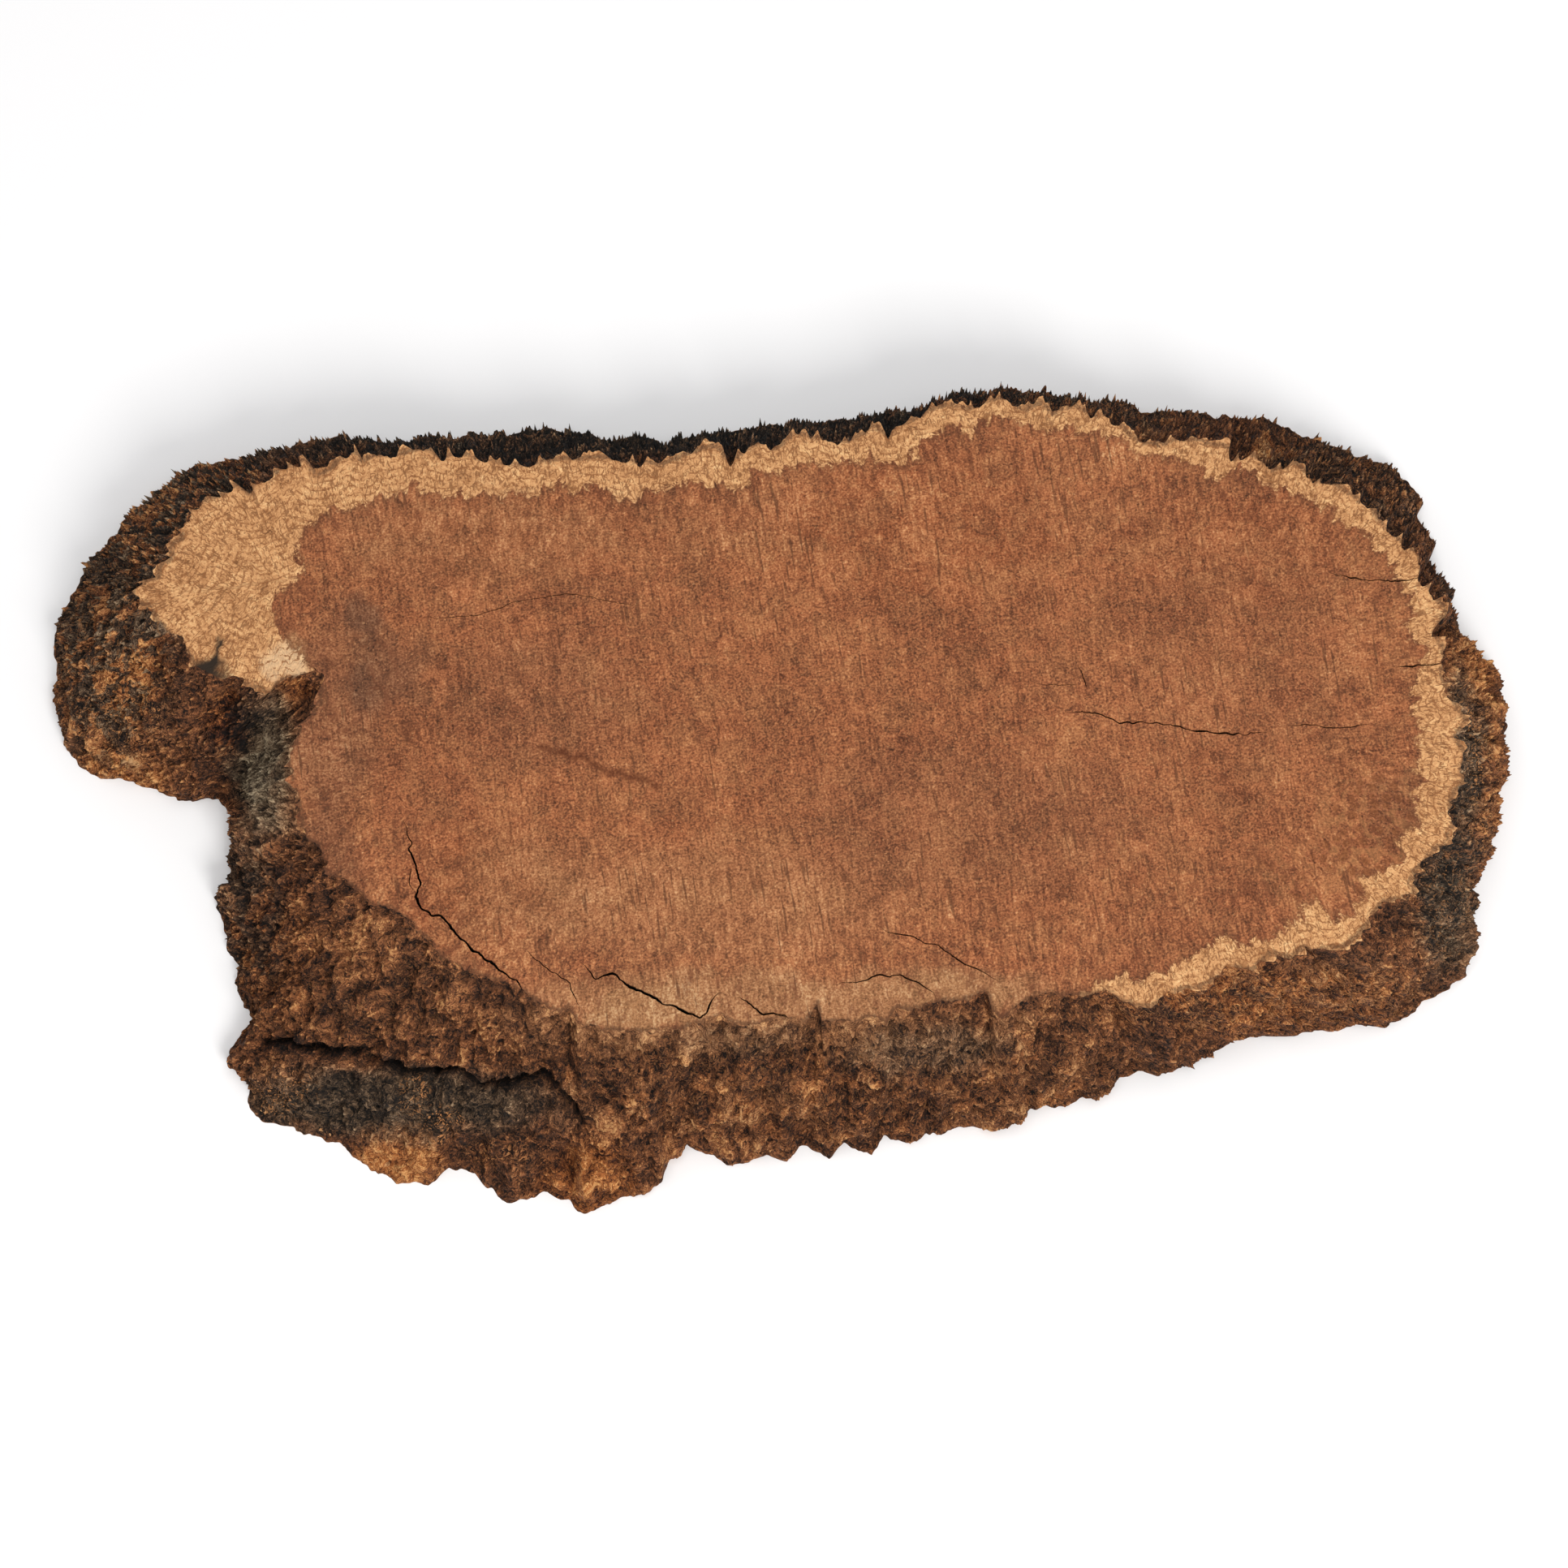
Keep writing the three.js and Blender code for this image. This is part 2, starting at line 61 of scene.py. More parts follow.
# Ribs of the bark flank, clockwise from the notch in the west side, as x and y where the
# rib leaves the sawn face, then x and y where it meets the ground.
RIBS = np.array([
    (-153, 37, -189, 3), (-160, 37, -192, 6), (-166, 35, -196, 7), (-169, 31.5, -200, 6),
    (-173, 33, -205, 6), (-179, 35, -209, 8), (-186, 36.5, -214, 10), (-189, 39.5, -219, 12),
    (-195, 42, -225, 14), (-198, 46, -232, 13.5), (-203, 52, -237, 16), (-207, 56, -242, 22),
    (-210, 61, -246, 31), (-214, 62, -248, 40), (-216, 66, -249, 50), (-212, 70, -250, 60),
    (-207.5, 71, -249, 68), (-207, 75, -247, 75), (-203, 78, -244, 81), (-204, 82, -241, 89),
    (-200, 85, -237, 94), (-203, 88, -233, 98), (-199, 91, -230, 104), (-197, 96, -226, 109),
    (-192, 99, -220, 113), (-187, 100, -216, 118), (-183, 104, -210, 122), (-178, 100, -205, 126),
    (-177, 104, -200, 127.5), (-173, 106, -194, 128), (-169, 109, -188, 129.5),
    (-163, 111, -182, 130), (-160, 113, -177, 131), (-156, 107, -171, 133.5),
    (-152, 109, -165, 136), (-146, 115, -159, 136), (-143, 116, -154, 137), (-141, 112, -149, 136),
    (-137, 114, -145, 136), (-130, 114, -138, 135), (-124, 116, -131, 135.5),
    (-119, 116.5, -125, 136.5), (-114, 113, -119, 137), (-110, 115, -113, 137),
    (-106, 114, -108, 138.5), (-101, 112.5, -103, 138), (-93, 111, -95, 138),
    (-88, 110.5, -89, 139), (-80, 112, -82, 140), (-73, 113, -75, 138), (-65, 113, -67, 138),
    (-60, 113.5, -61, 135), (-52, 112, -53, 137), (-45, 111.5, -46, 136), (-41, 111, -40, 134),
    (-34, 114, -35, 137), (-27.5, 116.5, -28, 138), (-22, 117, -22, 139), (-18, 111.5, -17, 139),
    (-12, 117, -11, 140), (-6, 119.5, -5, 141), (-3, 116.5, -1, 141), (4, 122, 5, 142),
    (9, 120.5, 11, 142.5), (14, 120, 16, 143), (21, 119, 22, 143.5), (27, 122, 28, 144.5),
    (30, 125, 32, 145), (35, 120.5, 37, 146), (38, 125, 41, 146.5), (43, 126.5, 46, 146),
    (50, 131, 52, 149.5), (54, 132, 57, 151), (62, 130.5, 64, 152.5), (66, 133, 70, 153),
    (75, 134.5, 78, 155), (80, 130, 83, 153), (86, 133, 90, 153), (90, 129, 95, 152.5),
    (98, 132, 102, 150.5), (104, 128, 108, 150), (109.5, 129, 114, 149.5), (113, 124.5, 119, 149),
    (117, 120.5, 124, 147), (121, 118.5, 129, 146), (126, 117.5, 134, 147), (131, 120, 139, 146.5),
    (138, 119.5, 146, 145.5), (142, 118, 151, 144), (149, 117, 157, 145), (150, 113, 162, 144),
    (156, 115, 167, 143.5), (160, 112, 172, 142), (163, 109, 177, 139.5), (168, 110, 182, 137),
    (171, 112, 187, 134.5), (177, 105, 193, 132), (184, 104, 200, 130), (190, 99.5, 206, 128),
    (196, 96, 212, 125), (199, 90, 219, 118), (203, 86, 221, 112), (207, 82.5, 219, 108.5),
    (211, 79, 222, 103), (211.5, 75, 225, 98), (211, 71, 222, 91), (213, 69, 225, 87),
    (215, 65, 229, 83), (218, 61, 230, 78), (219, 58, 227, 74), (216, 55, 231, 69),
    (215, 51, 234, 61), (217, 47, 238, 55), (218, 43, 242, 50), (216, 37, 242, 45),
    (219, 31, 244, 38), (221, 26, 246, 33), (224, 22, 245, 27), (220, 16, 245, 21),
    (223, 10, 244, 15), (221, 4, 242, 9), (222.5, 1, 242, 4), (219, -2, 241, 0),
    (217, -7, 239, -5),
    (219, -12, 236.5, -10), (216, -17, 235.5, -15), (217, -20, 234, -21), (212, -21, 230, -25),
    (209, -25, 232, -31), (204, -30, 230, -36), (203, -33, 231, -40), (205, -37, 232.5, -44),
    (200, -38, 230, -49), (195, -39, 228, -54), (192, -41, 222, -59), (189, -46, 216, -62),
    (186, -50, 211, -66), (181, -54, 206, -69.5), (174, -55, 200, -72), (171, -56.5, 194, -71.5),
    (168, -54, 190, -70.5), (163, -58, 184, -73), (157, -56, 176, -73), (151, -62, 170, -75),
    (143, -61, 162, -75), (141, -64, 155, -75.5), (134, -67.5, 147, -78), (128, -68, 140, -81.5),
    (124, -70, 134, -83), (118, -74, 130, -87), (113, -73.5, 124, -88.5), (107, -71, 118, -87),
    (104, -69, 112, -89.5), (98, -70, 105, -94), (90, -70, 98, -96), (82, -69.5, 90, -99),
    (75, -74, 82, -99.5), (70, -78, 76, -105), (67, -75, 71, -106), (65, -69, 66, -106),
    (57, -72, 60, -105), (50, -72, 52, -108.5), (45, -74, 47, -107.5), (40, -75, 42, -110.5),
    (36, -74, 37, -110), (33, -79, 33, -108), (27, -77, 29, -115), (24, -79, 24, -113),
    (18, -78.5, 20, -111), (12, -79, 15, -115.5), (10.5, -73, 9, -112), (7, -79, 5, -112),
    (1, -78, 1, -117), (-4, -78, -6, -115), (-9, -80, -11, -117), (-16, -79.5, -17, -119),
    (-20, -77, -22, -116), (-27, -79, -28, -113.5), (-33, -81, -32, -112), (-40, -81.5, -38, -117),
    (-45, -82, -40, -123), (-51, -82, -46, -128), (-56, -81.5, -53, -129), (-60, -81, -59, -132),
    (-66, -80, -66, -134.5), (-69, -74, -71, -130), (-72, -76, -78, -127), (-76, -74, -85, -129.5),
    (-80, -72, -91, -131), (-85, -68.5, -96, -126), (-90, -66, -103, -121),
    (-95, -64.5, -110, -119), (-100, -63, -117, -124.5), (-104, -61.5, -126, -124.5),
    (-108, -59.5, -135, -120.5), (-111, -57, -141, -115), (-114, -53, -149, -110.5),
    (-117, -50, -158, -108), (-120, -47, -165, -105), (-122.5, -45, -173, -104),
    (-125, -43, -177.5, -97), (-128, -41, -178, -90), (-131, -41, -182, -85),
    (-134, -40, -183, -78), (-136, -38, -177, -70), (-138, -36, -180, -65), (-140, -34, -184, -57),
    (-143, -32.5, -182, -51), (-146, -31, -187, -45), (-149, -29, -188, -37),
    (-150, -25, -192, -28), (-152, -20, -185, -24), (-156, -18, -187, -14), (-157, -12, -186, -9),
    (-159, -4, -187, -4), (-161, 4, -186.5, -1), (-163, 10, -186, -0.2), (-160, 14, -186.4, 0.4),
    (-159, 20, -187, 1), (-155, 24, -187.6, 1.5), (-152, 28, -188, 2), (-152, 32, -188.5, 2.5),
], float)

# Noises that are added up, each as its height, its size and its seed: small jags along the
# cut edge and along the foot, how the ledge's crease and the cracks stray from their paths,
# how a crack's width varies, and how ragged the patches are on the bark, at its worn top and
# on the sawn face.
EDGE_JAGS = [(1.1, 2.2, 5), (0.5, 1.0, 5)]
FOOT_JAGS = [(1.0, 3.2, 6), (0.6, 1.3, 6)]
CREASE_STRAYS = [(2.2, 8.0, 72), (0.9, 2.6, 73)]
CRACK_STRAYS = [(0.5, 2.4, 81), (0.3, 1.1, 82)]
CRACK_SWELLS = [(0.5, 3.5, 83)]
BARK_RAGS = [(1.2, 2.2, 75)]
WORN_RAGS = [(0.08, 5.0, 77)]
FACE_RAGS = [(2, 3.0, 95)]

# Noises that move a place before something is read there, each as its size, its push and its
# seed: for the bark's fibres, its domes and its patches, then the face's patches and its vein.
FIBRE_WARP = (4.5, 1.6, 11)
DOME_WARP = (12, 4.0, 65)
BARK_WARP = (7.0, 2.5, 71)
FACE_WARP = (9.0, 4.0, 91)
VEIN_WARP = (3.0, 1.2, 97)

# Where over the plan something sets in, from nothing to full, in mm: the comb's full length
# along y and along x, the spines' full number along y and along x, their greater height along
# y, the calm of the ledge, the lower domes of the south-east and the ledge itself, each along
# x and along y, and its crease along x. Then the share of the spines that stands elsewhere.
COMB_NORTH, COMB_EAST = (-60, 30), (90, 160)
SPIKY_NORTH, SPIKY_WEST = (-60, 60), (-130, -180)
TALL_NORTH = (50, 95)
CALM = ((-62, -80), (-84, -94))
MATTY = ((85, 120), (20, -20))
LEDGE_START = ((-60, -68), (-60, -80))
CREASE_START = (-172, -160)
SPIKY_LEAST = 0.25

# The comb of narrow teeth in which the sapwood ends, longest in the north and east: the size
# of its noise, its length, the share of that length that stays in the south-west, and the
# height, as a share, of a tooth that ends on the drawn edge.
COMB_SIZE = 4.4
COMB_LENGTH = 4.2
COMB_LEAST = 0.15
COMB_MIDDLE = 0.45

# How far the bark swells out between its rims, the share that is missing where the flank
# faces north, and how far north it faces where that begins and is full. Then its lumps and
# knobs: a height, and two crossing waves, each as radians per millimetre along x, y and z,
# then a phase.
SWELL = 4.5
NORTH_LESS = 0.75
NORTH_FACING = (0.2, 0.9)
LUMPS = (2.6, [(0.19, 0.07, 0, 0.9), (-0.05, 0.16, 0.12, 2.1)])
KNOBS = (1.7, [(0.47, -0.21, 0.3, 0), (0.25, 0.43, -0.33, 1.7)])

# The ledge low on the south-west flank, with its crease, as depth and width, and the swelling
# under it, as distance, height and half-width. Then the crease's path as it is seen from
# above, the pit in the west lobe and two clefts in the south.
LEDGE = {"depth": 5.5, "width": 1.15, "below": 9.0, "height": 5.0, "spread": 7.0}
LEDGE_CREASE = np.array([
    (-172, -84), (-165, -86), (-155, -88), (-140, -90), (-125, -94), (-110, -95), (-100, -97),
    (-88, -98), (-75, -100), (-70, -104), (-66, -109), (-62, -116),
], float)
PIT = {"place": (-182, 31), "radius": 5.5, "depth": 5}
CLEFTS = [{"foot_x": -69, "width": 3, "depth": 3}, {"foot_x": 117, "width": 4, "depth": 3}]

# Where the broad relief fades out, as a share of the flank, and the fine relief, in mm, and
# how far the moved bark stays from the planes of the sawn faces.
RIM_SHARE = 0.12
FINE_RIM = 2.0
RIM_CLEAR = 0.4

# Fine relief of the bark in mm: fibres as height, size and noise seed, pits, domes that are
# "less" high where spines stand, small lumps, spines that stand "more" high in the north,
# and how far all of it is lowered, "more" in the north, and its "least" height. What pits
# and domes lose where the ledge is calm is "calmed", and in the south-east "matted".
FIBRES = [(1.5, 2.9, 21), (1.2, 1.4, 31)]
PITS = {"depth": 1.2, "size": 4.4, "reach": (0.34, 0.16), "calmed": 0.8}
DOMES = {"height": 3.4, "less": 2.2, "size": 9.5, "calmed": 0.7, "matted": 0.6}
SMALL_LUMPS = {"height": 1.4, "size": 4.6}
SPINES = {"height": 2.4, "more": 1.4, "size": 1.9, "reach": 0.45}
LOWERED = {"all": 1.8, "more": 1.2, "least": -1.6}

# The bark's mesh: its pitch, how deep its shells are and where their inner rows lie, and how
# the last columns sink to pass under the next shell. Then each shell's first and last rib.
BARK_PITCH = 0.45
SHELL_DEPTH = 13.0
INNER_SHARES = np.array([0.985, 0.8, 0.5, 0.2, 0.05])
INNER_LEVELS = (1.0, THICKNESS - 1.5)
TUCK_COLUMNS = 6
TUCK_DEPTH = 2.5
SHELLS = {
    "bark_lobe": (0, 34),
    "bark_north": (34, 87),
    "bark_east": (87, 141),
    "bark_south": (141, 181),
    "bark_ledge": (181, 222),
}

# The border between heartwood and sapwood, clockwise from the notch, then round outside
# the slice along the south and west, where there is no sapwood.
HEART_BORDER = np.array([
    (-158, 38), (-160, 43), (-165, 48), (-169, 54), (-168, 59), (-170, 62), (-168, 68),
    (-163, 70), (-161, 74), (-163, 80), (-159, 84), (-157, 88), (-151, 91), (-149, 94),
    (-143, 95), (-138, 97), (-128, 101), (-124, 103), (-115, 101), (-105, 100), (-95, 99.5),
    (-85, 100.5), (-75, 103), (-65, 100), (-60, 102), (-50, 98), (-42, 101.5), (-34, 102),
    (-22, 105), (-16, 103.5), (-12, 107), (-8, 109), (-4, 107), (4, 110.5), (12, 111.5),
    (22, 111), (30, 113), (40, 113), (43, 116), (47, 119), (51, 122), (55, 123), (60, 121),
    (64, 121), (69, 127), (76, 127), (79, 124), (84, 122), (96, 123.5), (105, 120.5),
    (110, 120), (114, 117), (120, 114), (126, 112), (132, 112), (140, 108), (145, 107),
    (154, 110), (157, 108), (160, 104), (165, 102), (174, 100), (178, 97.5), (181, 94),
    (184, 90), (190, 89), (195, 82), (199, 80), (203, 77), (205, 72), (209, 62), (208, 50),
    (212, 46), (208, 38), (205, 33), (208, 28), (209, 16), (205, 4), (208, 1), (206, -4),
    (206, -13), (202, -16), (200, -20), (202, -24), (198, -27), (187, -31), (186, -36),
    (188, -39), (184, -43), (180, -44), (176, -41), (171, -39.5), (168, -41), (169, -46),
    (161, -46), (159, -50), (153, -50), (150, -53), (146, -55), (141, -51.5), (139, -55),
    (128, -57), (126, -60), (119, -64), (115, -66), (110, -64), (104, -64), (96, -68),
    (90, -76), (-110, -100), (-190, -60), (-190, 20), (-165, 30),
], float)

# Drying cracks: a width, a depth and a path over the sawn face.
CRACKS = [
    (0.95, 9, [(-124, -12), (-121, -20), (-122, -22), (-119, -29), (-118, -33), (-119, -38),
              (-117, -42), (-114, -44), (-111, -44), (-109, -46), (-106, -50), (-102, -54),
              (-98, -57), (-94, -60), (-90, -63), (-86, -66), (-84, -69), (-82, -75)]),
    (0.5, 4, [(-121, -27), (-121.6, -30), (-121, -34), (-119.6, -36)]),
    (0.5, 4, [(-84, -54), (-80, -59), (-72, -64), (-69, -66), (-67, -71), (-65, -77)]),
    (1.05, 9, [(-66, -59), (-64, -61), (-61, -65), (-55, -63), (-51, -67), (-46, -69),
               (-41, -71), (-39, -73), (-35, -73.5), (-31, -76), (-27, -78), (-25, -76),
               (-23, -72), (-21, -69.5), (-18, -70)]),
    (0.8, 6, [(-16, -71), (-12, -72), (-9, -75), (-7, -77), (-3, -76), (0, -77), (5, -81)]),
    (0.7, 6, [(14, -67), (25, -65.5), (30, -64), (37, -63.5), (44, -67), (48, -69), (50, -73)]),
    (0.6, 6, [(30, -47.5), (35, -50), (41, -50.5), (45, -53), (50, -54), (54, -57), (58, -60),
              (62, -61), (66, -64), (70, -66)]),
    (0.8, 7, [(89, 24.5), (104, 24), (110, 21), (114, 20.6), (117, 21.6), (124, 20.5), (134, 18.5),
              (147, 16.5), (156, 17.5), (161, 18.5)]),
    (0.5, 5, [(163, 20), (174, 20), (180, 19), (193, 20.5)]),
    (0.4, 3, [(83, 34), (90, 33.6), (98, 34)]),
    (0.5, 3, [(96.6, 41), (98.5, 36.5), (100, 32)]),
    (0.7, 5, [(201, 40), (212, 40.5), (219, 42.4)]),
    (0.8, 5, [(181, 73), (188, 71), (195, 70), (207, 70), (213, 71.2)]),
    (0.4, 3, [(-130, 57), (-112, 57), (-100, 58), (-90, 62), (-74, 65), (-68, 65), (-55, 62),
              (-44, 61), (-40, 62.5)]),
    (0.6, 3, [(-155, 40), (-153.4, 38), (-153.4, 36)]),
]

# The blades that cut them: their step, how far they stand out of the face, the share of a
# crack's width and depth at its tips, and how many times over both grow along its length,
# until they are full.
CRACK_STEP = 0.8
CRACK_PROUD = 1.5
CRACK_TIP = 0.12
CRACK_TAPER = 4

# The slab's lattice: its corners, and its pitch on the sawn face and on the foot. Then the
# solid it is cut with, as rows of a share of the way to the foot, an inset and a level.
LATTICE = (np.array([-254.0, -138.0]), np.array([252.0, 160.0]))
LATTICE_PITCH = (1.2, 2.6)
PRISM_ROWS = [
    (0, 0, THICKNESS + 2), (0, 0, THICKNESS - 0.1), (0.01, 2.2, THICKNESS - 0.5),
    (0.05, 5, THICKNESS - 2.2), (0.16, 9, THICKNESS * 0.84), (0.84, 9, THICKNESS * 0.16),
    (0.95, 5, 2.2), (0.99, 2.2, 0.5), (1, 0, 0.1), (1, 0, -2),
]


def chance(cell, seed):
    """A repeatable number from 0 to 1 for each whole-number cell x, y, z, mixed by hashing."""
    key = cell.astype(np.int64).astype(np.uint32)
    value = key[..., 0] * np.uint32(374761393) + key[..., 1] * np.uint32(668265263)
    value = value + key[..., 2] * np.uint32(2246822519) + np.uint32(seed * 40503 % 4294967296)
    value = (value ^ (value >> np.uint32(15))) * np.uint32(2654435761)
    value = (value ^ (value >> np.uint32(13))) * np.uint32(1274126177)
    return ((value ^ (value >> np.uint32(16))) >> np.uint32(8)) / 16777216.0


def noise(points, size, seed):
    """Smooth noise from -1 to 1: random values at the corners of cells "size" across, blended."""
    scaled = points / size
    cell = np.floor(scaled)
    part = scaled - cell
    part = part * part * (3 - 2 * part)
    total = 0
    for corner in np.ndindex(2, 2, 2):
        weight = np.prod(np.where(np.array(corner, bool), part, 1 - part), axis=-1)
        total = total + weight * chance(cell + np.array(corner), seed)
    return total * 2 - 1


def waves(points, layers):
    """Sum of noises, each as its height, its size and its seed."""
    return sum(height * noise(points, size, seed) for height, size, seed in layers)


def warped(points, size, push, seed):
    """The points, each moved up to "push" along x, y and z by three noises "size" across."""
    return points + push * np.stack([noise(points, size, seed + axis) for axis in range(3)], -1)


def fibres(points, size, seed):
    """Crests like matted fibres: 1 where the noise passes through zero, falling to 0 beside it."""
    return (1 - np.abs(noise(points, size, seed))) ** 6


def grains(points, size, seed):
    """Distance to the nearest of the points strewn one to a cell, as a share of the cell."""
    scaled = points / size
    cell = np.floor(scaled)
    nearest = np.full(points.shape[:-1], 9.0)
    for step in np.ndindex(3, 3, 3):
        other = cell + np.array(step) - 1
        seat = np.stack([chance(other, seed + axis) for axis in range(3)], -1)
        nearest = np.minimum(nearest, np.linalg.norm(other + seat - scaled, axis=-1))
    return nearest


def bump(value, centre, width):
    """A rounded bump of height 1 and half-width "width" about "centre"."""
    return np.exp(-(((value - centre) / width) ** 2))


def smooth(start, stop, value):
    """0 at "start", 1 at "stop", smooth between them."""
    share = np.clip((value - start) / (stop - start), 0, 1)
    return share * share * (3 - 2 * share)


def flat(points, level=0.0):
    """Rows of x and y as rows of x, y and one level."""
    return np.concatenate([points, np.full(points.shape[:-1] + (1,), level)], -1)


def closed(rows):
    """The rows with the first one again at the end."""
    return np.vstack([rows, rows[:1]])


def travelled(line):
    """Distance along a line to each of its points."""
    return np.concatenate([[0], np.cumsum(np.linalg.norm(np.diff(line, axis=0), axis=1))])


def box_corners():
    """Lowest and highest corners of the CAD solid, in the drawing's millimetres."""
    return [np.array(corner) / METRE + np.append(MIDDLE, 0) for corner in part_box("burl_slice")]


def rib_distances():
    """Distance of each rib round the slice, halfway down the flank, and the whole girth last."""
    ribs = closed(RIBS)
    return travelled((ribs[:, :2] + ribs[:, 2:]) / 2)


def comb_at(top):
    """How far out the comb's tooth stands at each point of the cut edge, from 0 to 1."""
    return (1 - np.abs(noise(flat(top, 11), COMB_SIZE, 9))) ** 3


def ribs_at(distance):
    """Top and foot of the rib at each distance, jagged outward and inward, and its way out."""
    along = rib_distances()
    rib = np.stack([np.interp(distance % along[-1], along, row) for row in closed(RIBS).T], -1)
    top, foot = rib[:, :2], rib[:, 2:]
    run = foot - top
    outward = run / np.linalg.norm(run, axis=1, keepdims=True)
    edge_jag = waves(flat(top, 3), EDGE_JAGS)
    combed = np.maximum(smooth(*COMB_NORTH, top[:, 1]), smooth(*COMB_EAST, top[:, 0]))
    combed = COMB_LEAST + (1 - COMB_LEAST) * combed
    edge_jag = edge_jag + COMB_LENGTH * combed * (comb_at(top) - COMB_MIDDLE)
    foot_jag = waves(flat(foot, 7), FOOT_JAGS)
    return top + outward * edge_jag[:, None], foot + outward * foot_jag[:, None], outward


def crossing(shape, points):
    """The product of two crossing waves, from minus to plus their height."""
    product, turns = shape
    for per_x, per_y, per_z, phase in turns:
        turn = per_x * points[..., 0] + per_y * points[..., 1] + per_z * points[..., 2] + phase
        product = product * np.sin(turn)
    return product


def against_face(points):
    """Where each point falls on the plane of the sawn face, as seen in the photo.

    By the share of the way down to the ground, y first shifts south, and then x and y are
    divided by 1 and a little more.
    """
    down = (THICKNESS - points[..., 2]) / THICKNESS
    smaller = 1 + GROUND_SMALLER * down
    y = (points[..., 1] - GROUND_SHIFT * down) / smaller
    return np.stack([points[..., 0] / smaller, y], -1)


def ledge_relief(points):
    """Height of the ledge under its crease, and the crease itself, 1 in its middle."""
    seen = against_face(points)
    below = np.interp(seen[..., 0], *LEDGE_CREASE.T) - seen[..., 1]
    below = below + waves(flat(seen), CREASE_STRAYS)
    start_x, start_y = LEDGE_START
    fade = smooth(*start_x, seen[..., 0]) * smooth(*start_y, seen[..., 1])
    crease = fade * smooth(*CREASE_START, seen[..., 0]) * bump(below, 0, LEDGE["width"])
    return fade * LEDGE["height"] * bump(below, LEDGE["below"], LEDGE["spread"]), crease


def broad_relief(points, foot, share, swell):
    """Height over the straight flank: a swell, lumps and knobs, less the pit and the clefts."""
    from_pit = np.linalg.norm(points[..., :2] - np.array(PIT["place"]), axis=-1)
    pit = PIT["depth"] * bump(from_pit, 0, PIT["radius"])
    clefts = sum(c["depth"] * bump(foot[..., 0], c["foot_x"], c["width"]) for c in CLEFTS)
    clefts = np.where(foot[..., 1] > 0, 0, clefts)
    ends = np.clip(np.minimum(share, 1 - share) / RIM_SHARE, 0, 1)
    heights = crossing(LUMPS, points) + crossing(KNOBS, points) - pit - clefts
    return swell * (4 * share * (1 - share) + ends * heights / SWELL)


def spiky_share(points):
    """How thickly spines stand: least on the south flank, most on the north and the lobe."""
    north = smooth(*SPIKY_NORTH, points[..., 1])
    west = smooth(*SPIKY_WEST, points[..., 0])
    return SPIKY_LEAST + (1 - SPIKY_LEAST) * np.maximum(north, west)


def fine_relief(points):
    """Fine height of the bark in mm.

    Matted fibres, plus pits at strewn points, plus the sizes of two noises as domes and
    small lumps, plus cones at strewn points as spines, all lowered and cut off below. The
    ledge is calm, with shallow pits and low domes, and so are the domes in the south-east.
    """
    spiky = spiky_share(points)
    curled = warped(points, *FIBRE_WARP)
    matted = sum(height * fibres(curled, size, seed) for height, size, seed in FIBRES)
    calm, matty = (smooth(*x, points[..., 0]) * smooth(*y, points[..., 1])
                   for x, y in (CALM, MATTY))
    pits = smooth(*PITS["reach"], grains(points, PITS["size"], 41))
    pits = -PITS["depth"] * (1 - PITS["calmed"] * calm) * pits
    domes = np.abs(noise(warped(points, *DOME_WARP), DOMES["size"], 61))
    domes = (DOMES["height"] - DOMES["less"] * spiky) * domes
    domes = domes * (1 - DOMES["calmed"] * calm - DOMES["matted"] * matty)
    lumpy = domes + SMALL_LUMPS["height"] * np.abs(noise(curled, SMALL_LUMPS["size"], 62))
    cones = np.clip(1 - grains(curled, SPINES["size"], 51) / SPINES["reach"], 0, 1)
    north = smooth(*TALL_NORTH, points[..., 1])
    spines = (SPINES["height"] + SPINES["more"] * north) * spiky * cones
    lowered = LOWERED["all"] + LOWERED["more"] * north
    return np.maximum(matted + pits + lumpy + spines - lowered, LOWERED["least"])


def flank(distance, share):
    """Points of the bark, for columns at "distance" and rows at "share", the direction the
    flank faces at each column, and each point's fine height and share of the ledge's crease.

    Each point lies on the straight line from a rib's top to its foot, moved along the
    direction the flank faces there by the broad relief and the fine relief. Both fade out
    at the rims, and no point passes the planes of the sawn faces.
    """
    top, foot, outward = ribs_at(distance)
    share = share[:, None]
    run = np.linalg.norm(foot - top, axis=1)
    slant = np.hypot(run, THICKNESS)
    facing = np.concatenate([outward * (THICKNESS / slant)[:, None], (run / slant)[:, None]], -1)
    plan = top[None] * (1 - share[..., None]) + foot[None] * share[..., None]
    level = np.broadcast_to(THICKNESS * (1 - share), plan.shape[:2])
    points = np.concatenate([plan, level[..., None]], -1)
    fine = fine_relief(points)
    rim = np.clip(np.minimum(share, 1 - share) * slant[None] / FINE_RIM, 0, 1)
    swell = SWELL * (1 - NORTH_LESS * smooth(*NORTH_FACING, outward[:, 1]))
    height = broad_relief(points, foot[None], share, swell[None]) + rim * fine
    swollen = (swell * 4 * share * (1 - share))[..., None]
    ledge, crease = ledge_relief(points + facing[None] * swollen)
    height = height + rim * (ledge - LEDGE["depth"] * crease)
    moved = points + facing[None] * height[..., None]
    inside = (share > 0) & (share < 1)
    low = np.where(inside, RIM_CLEAR, points[..., 2])
    high = np.where(inside, THICKNESS - RIM_CLEAR, points[..., 2])
    moved[..., 2] = np.clip(moved[..., 2], low, high)
    return moved, facing, fine, crease


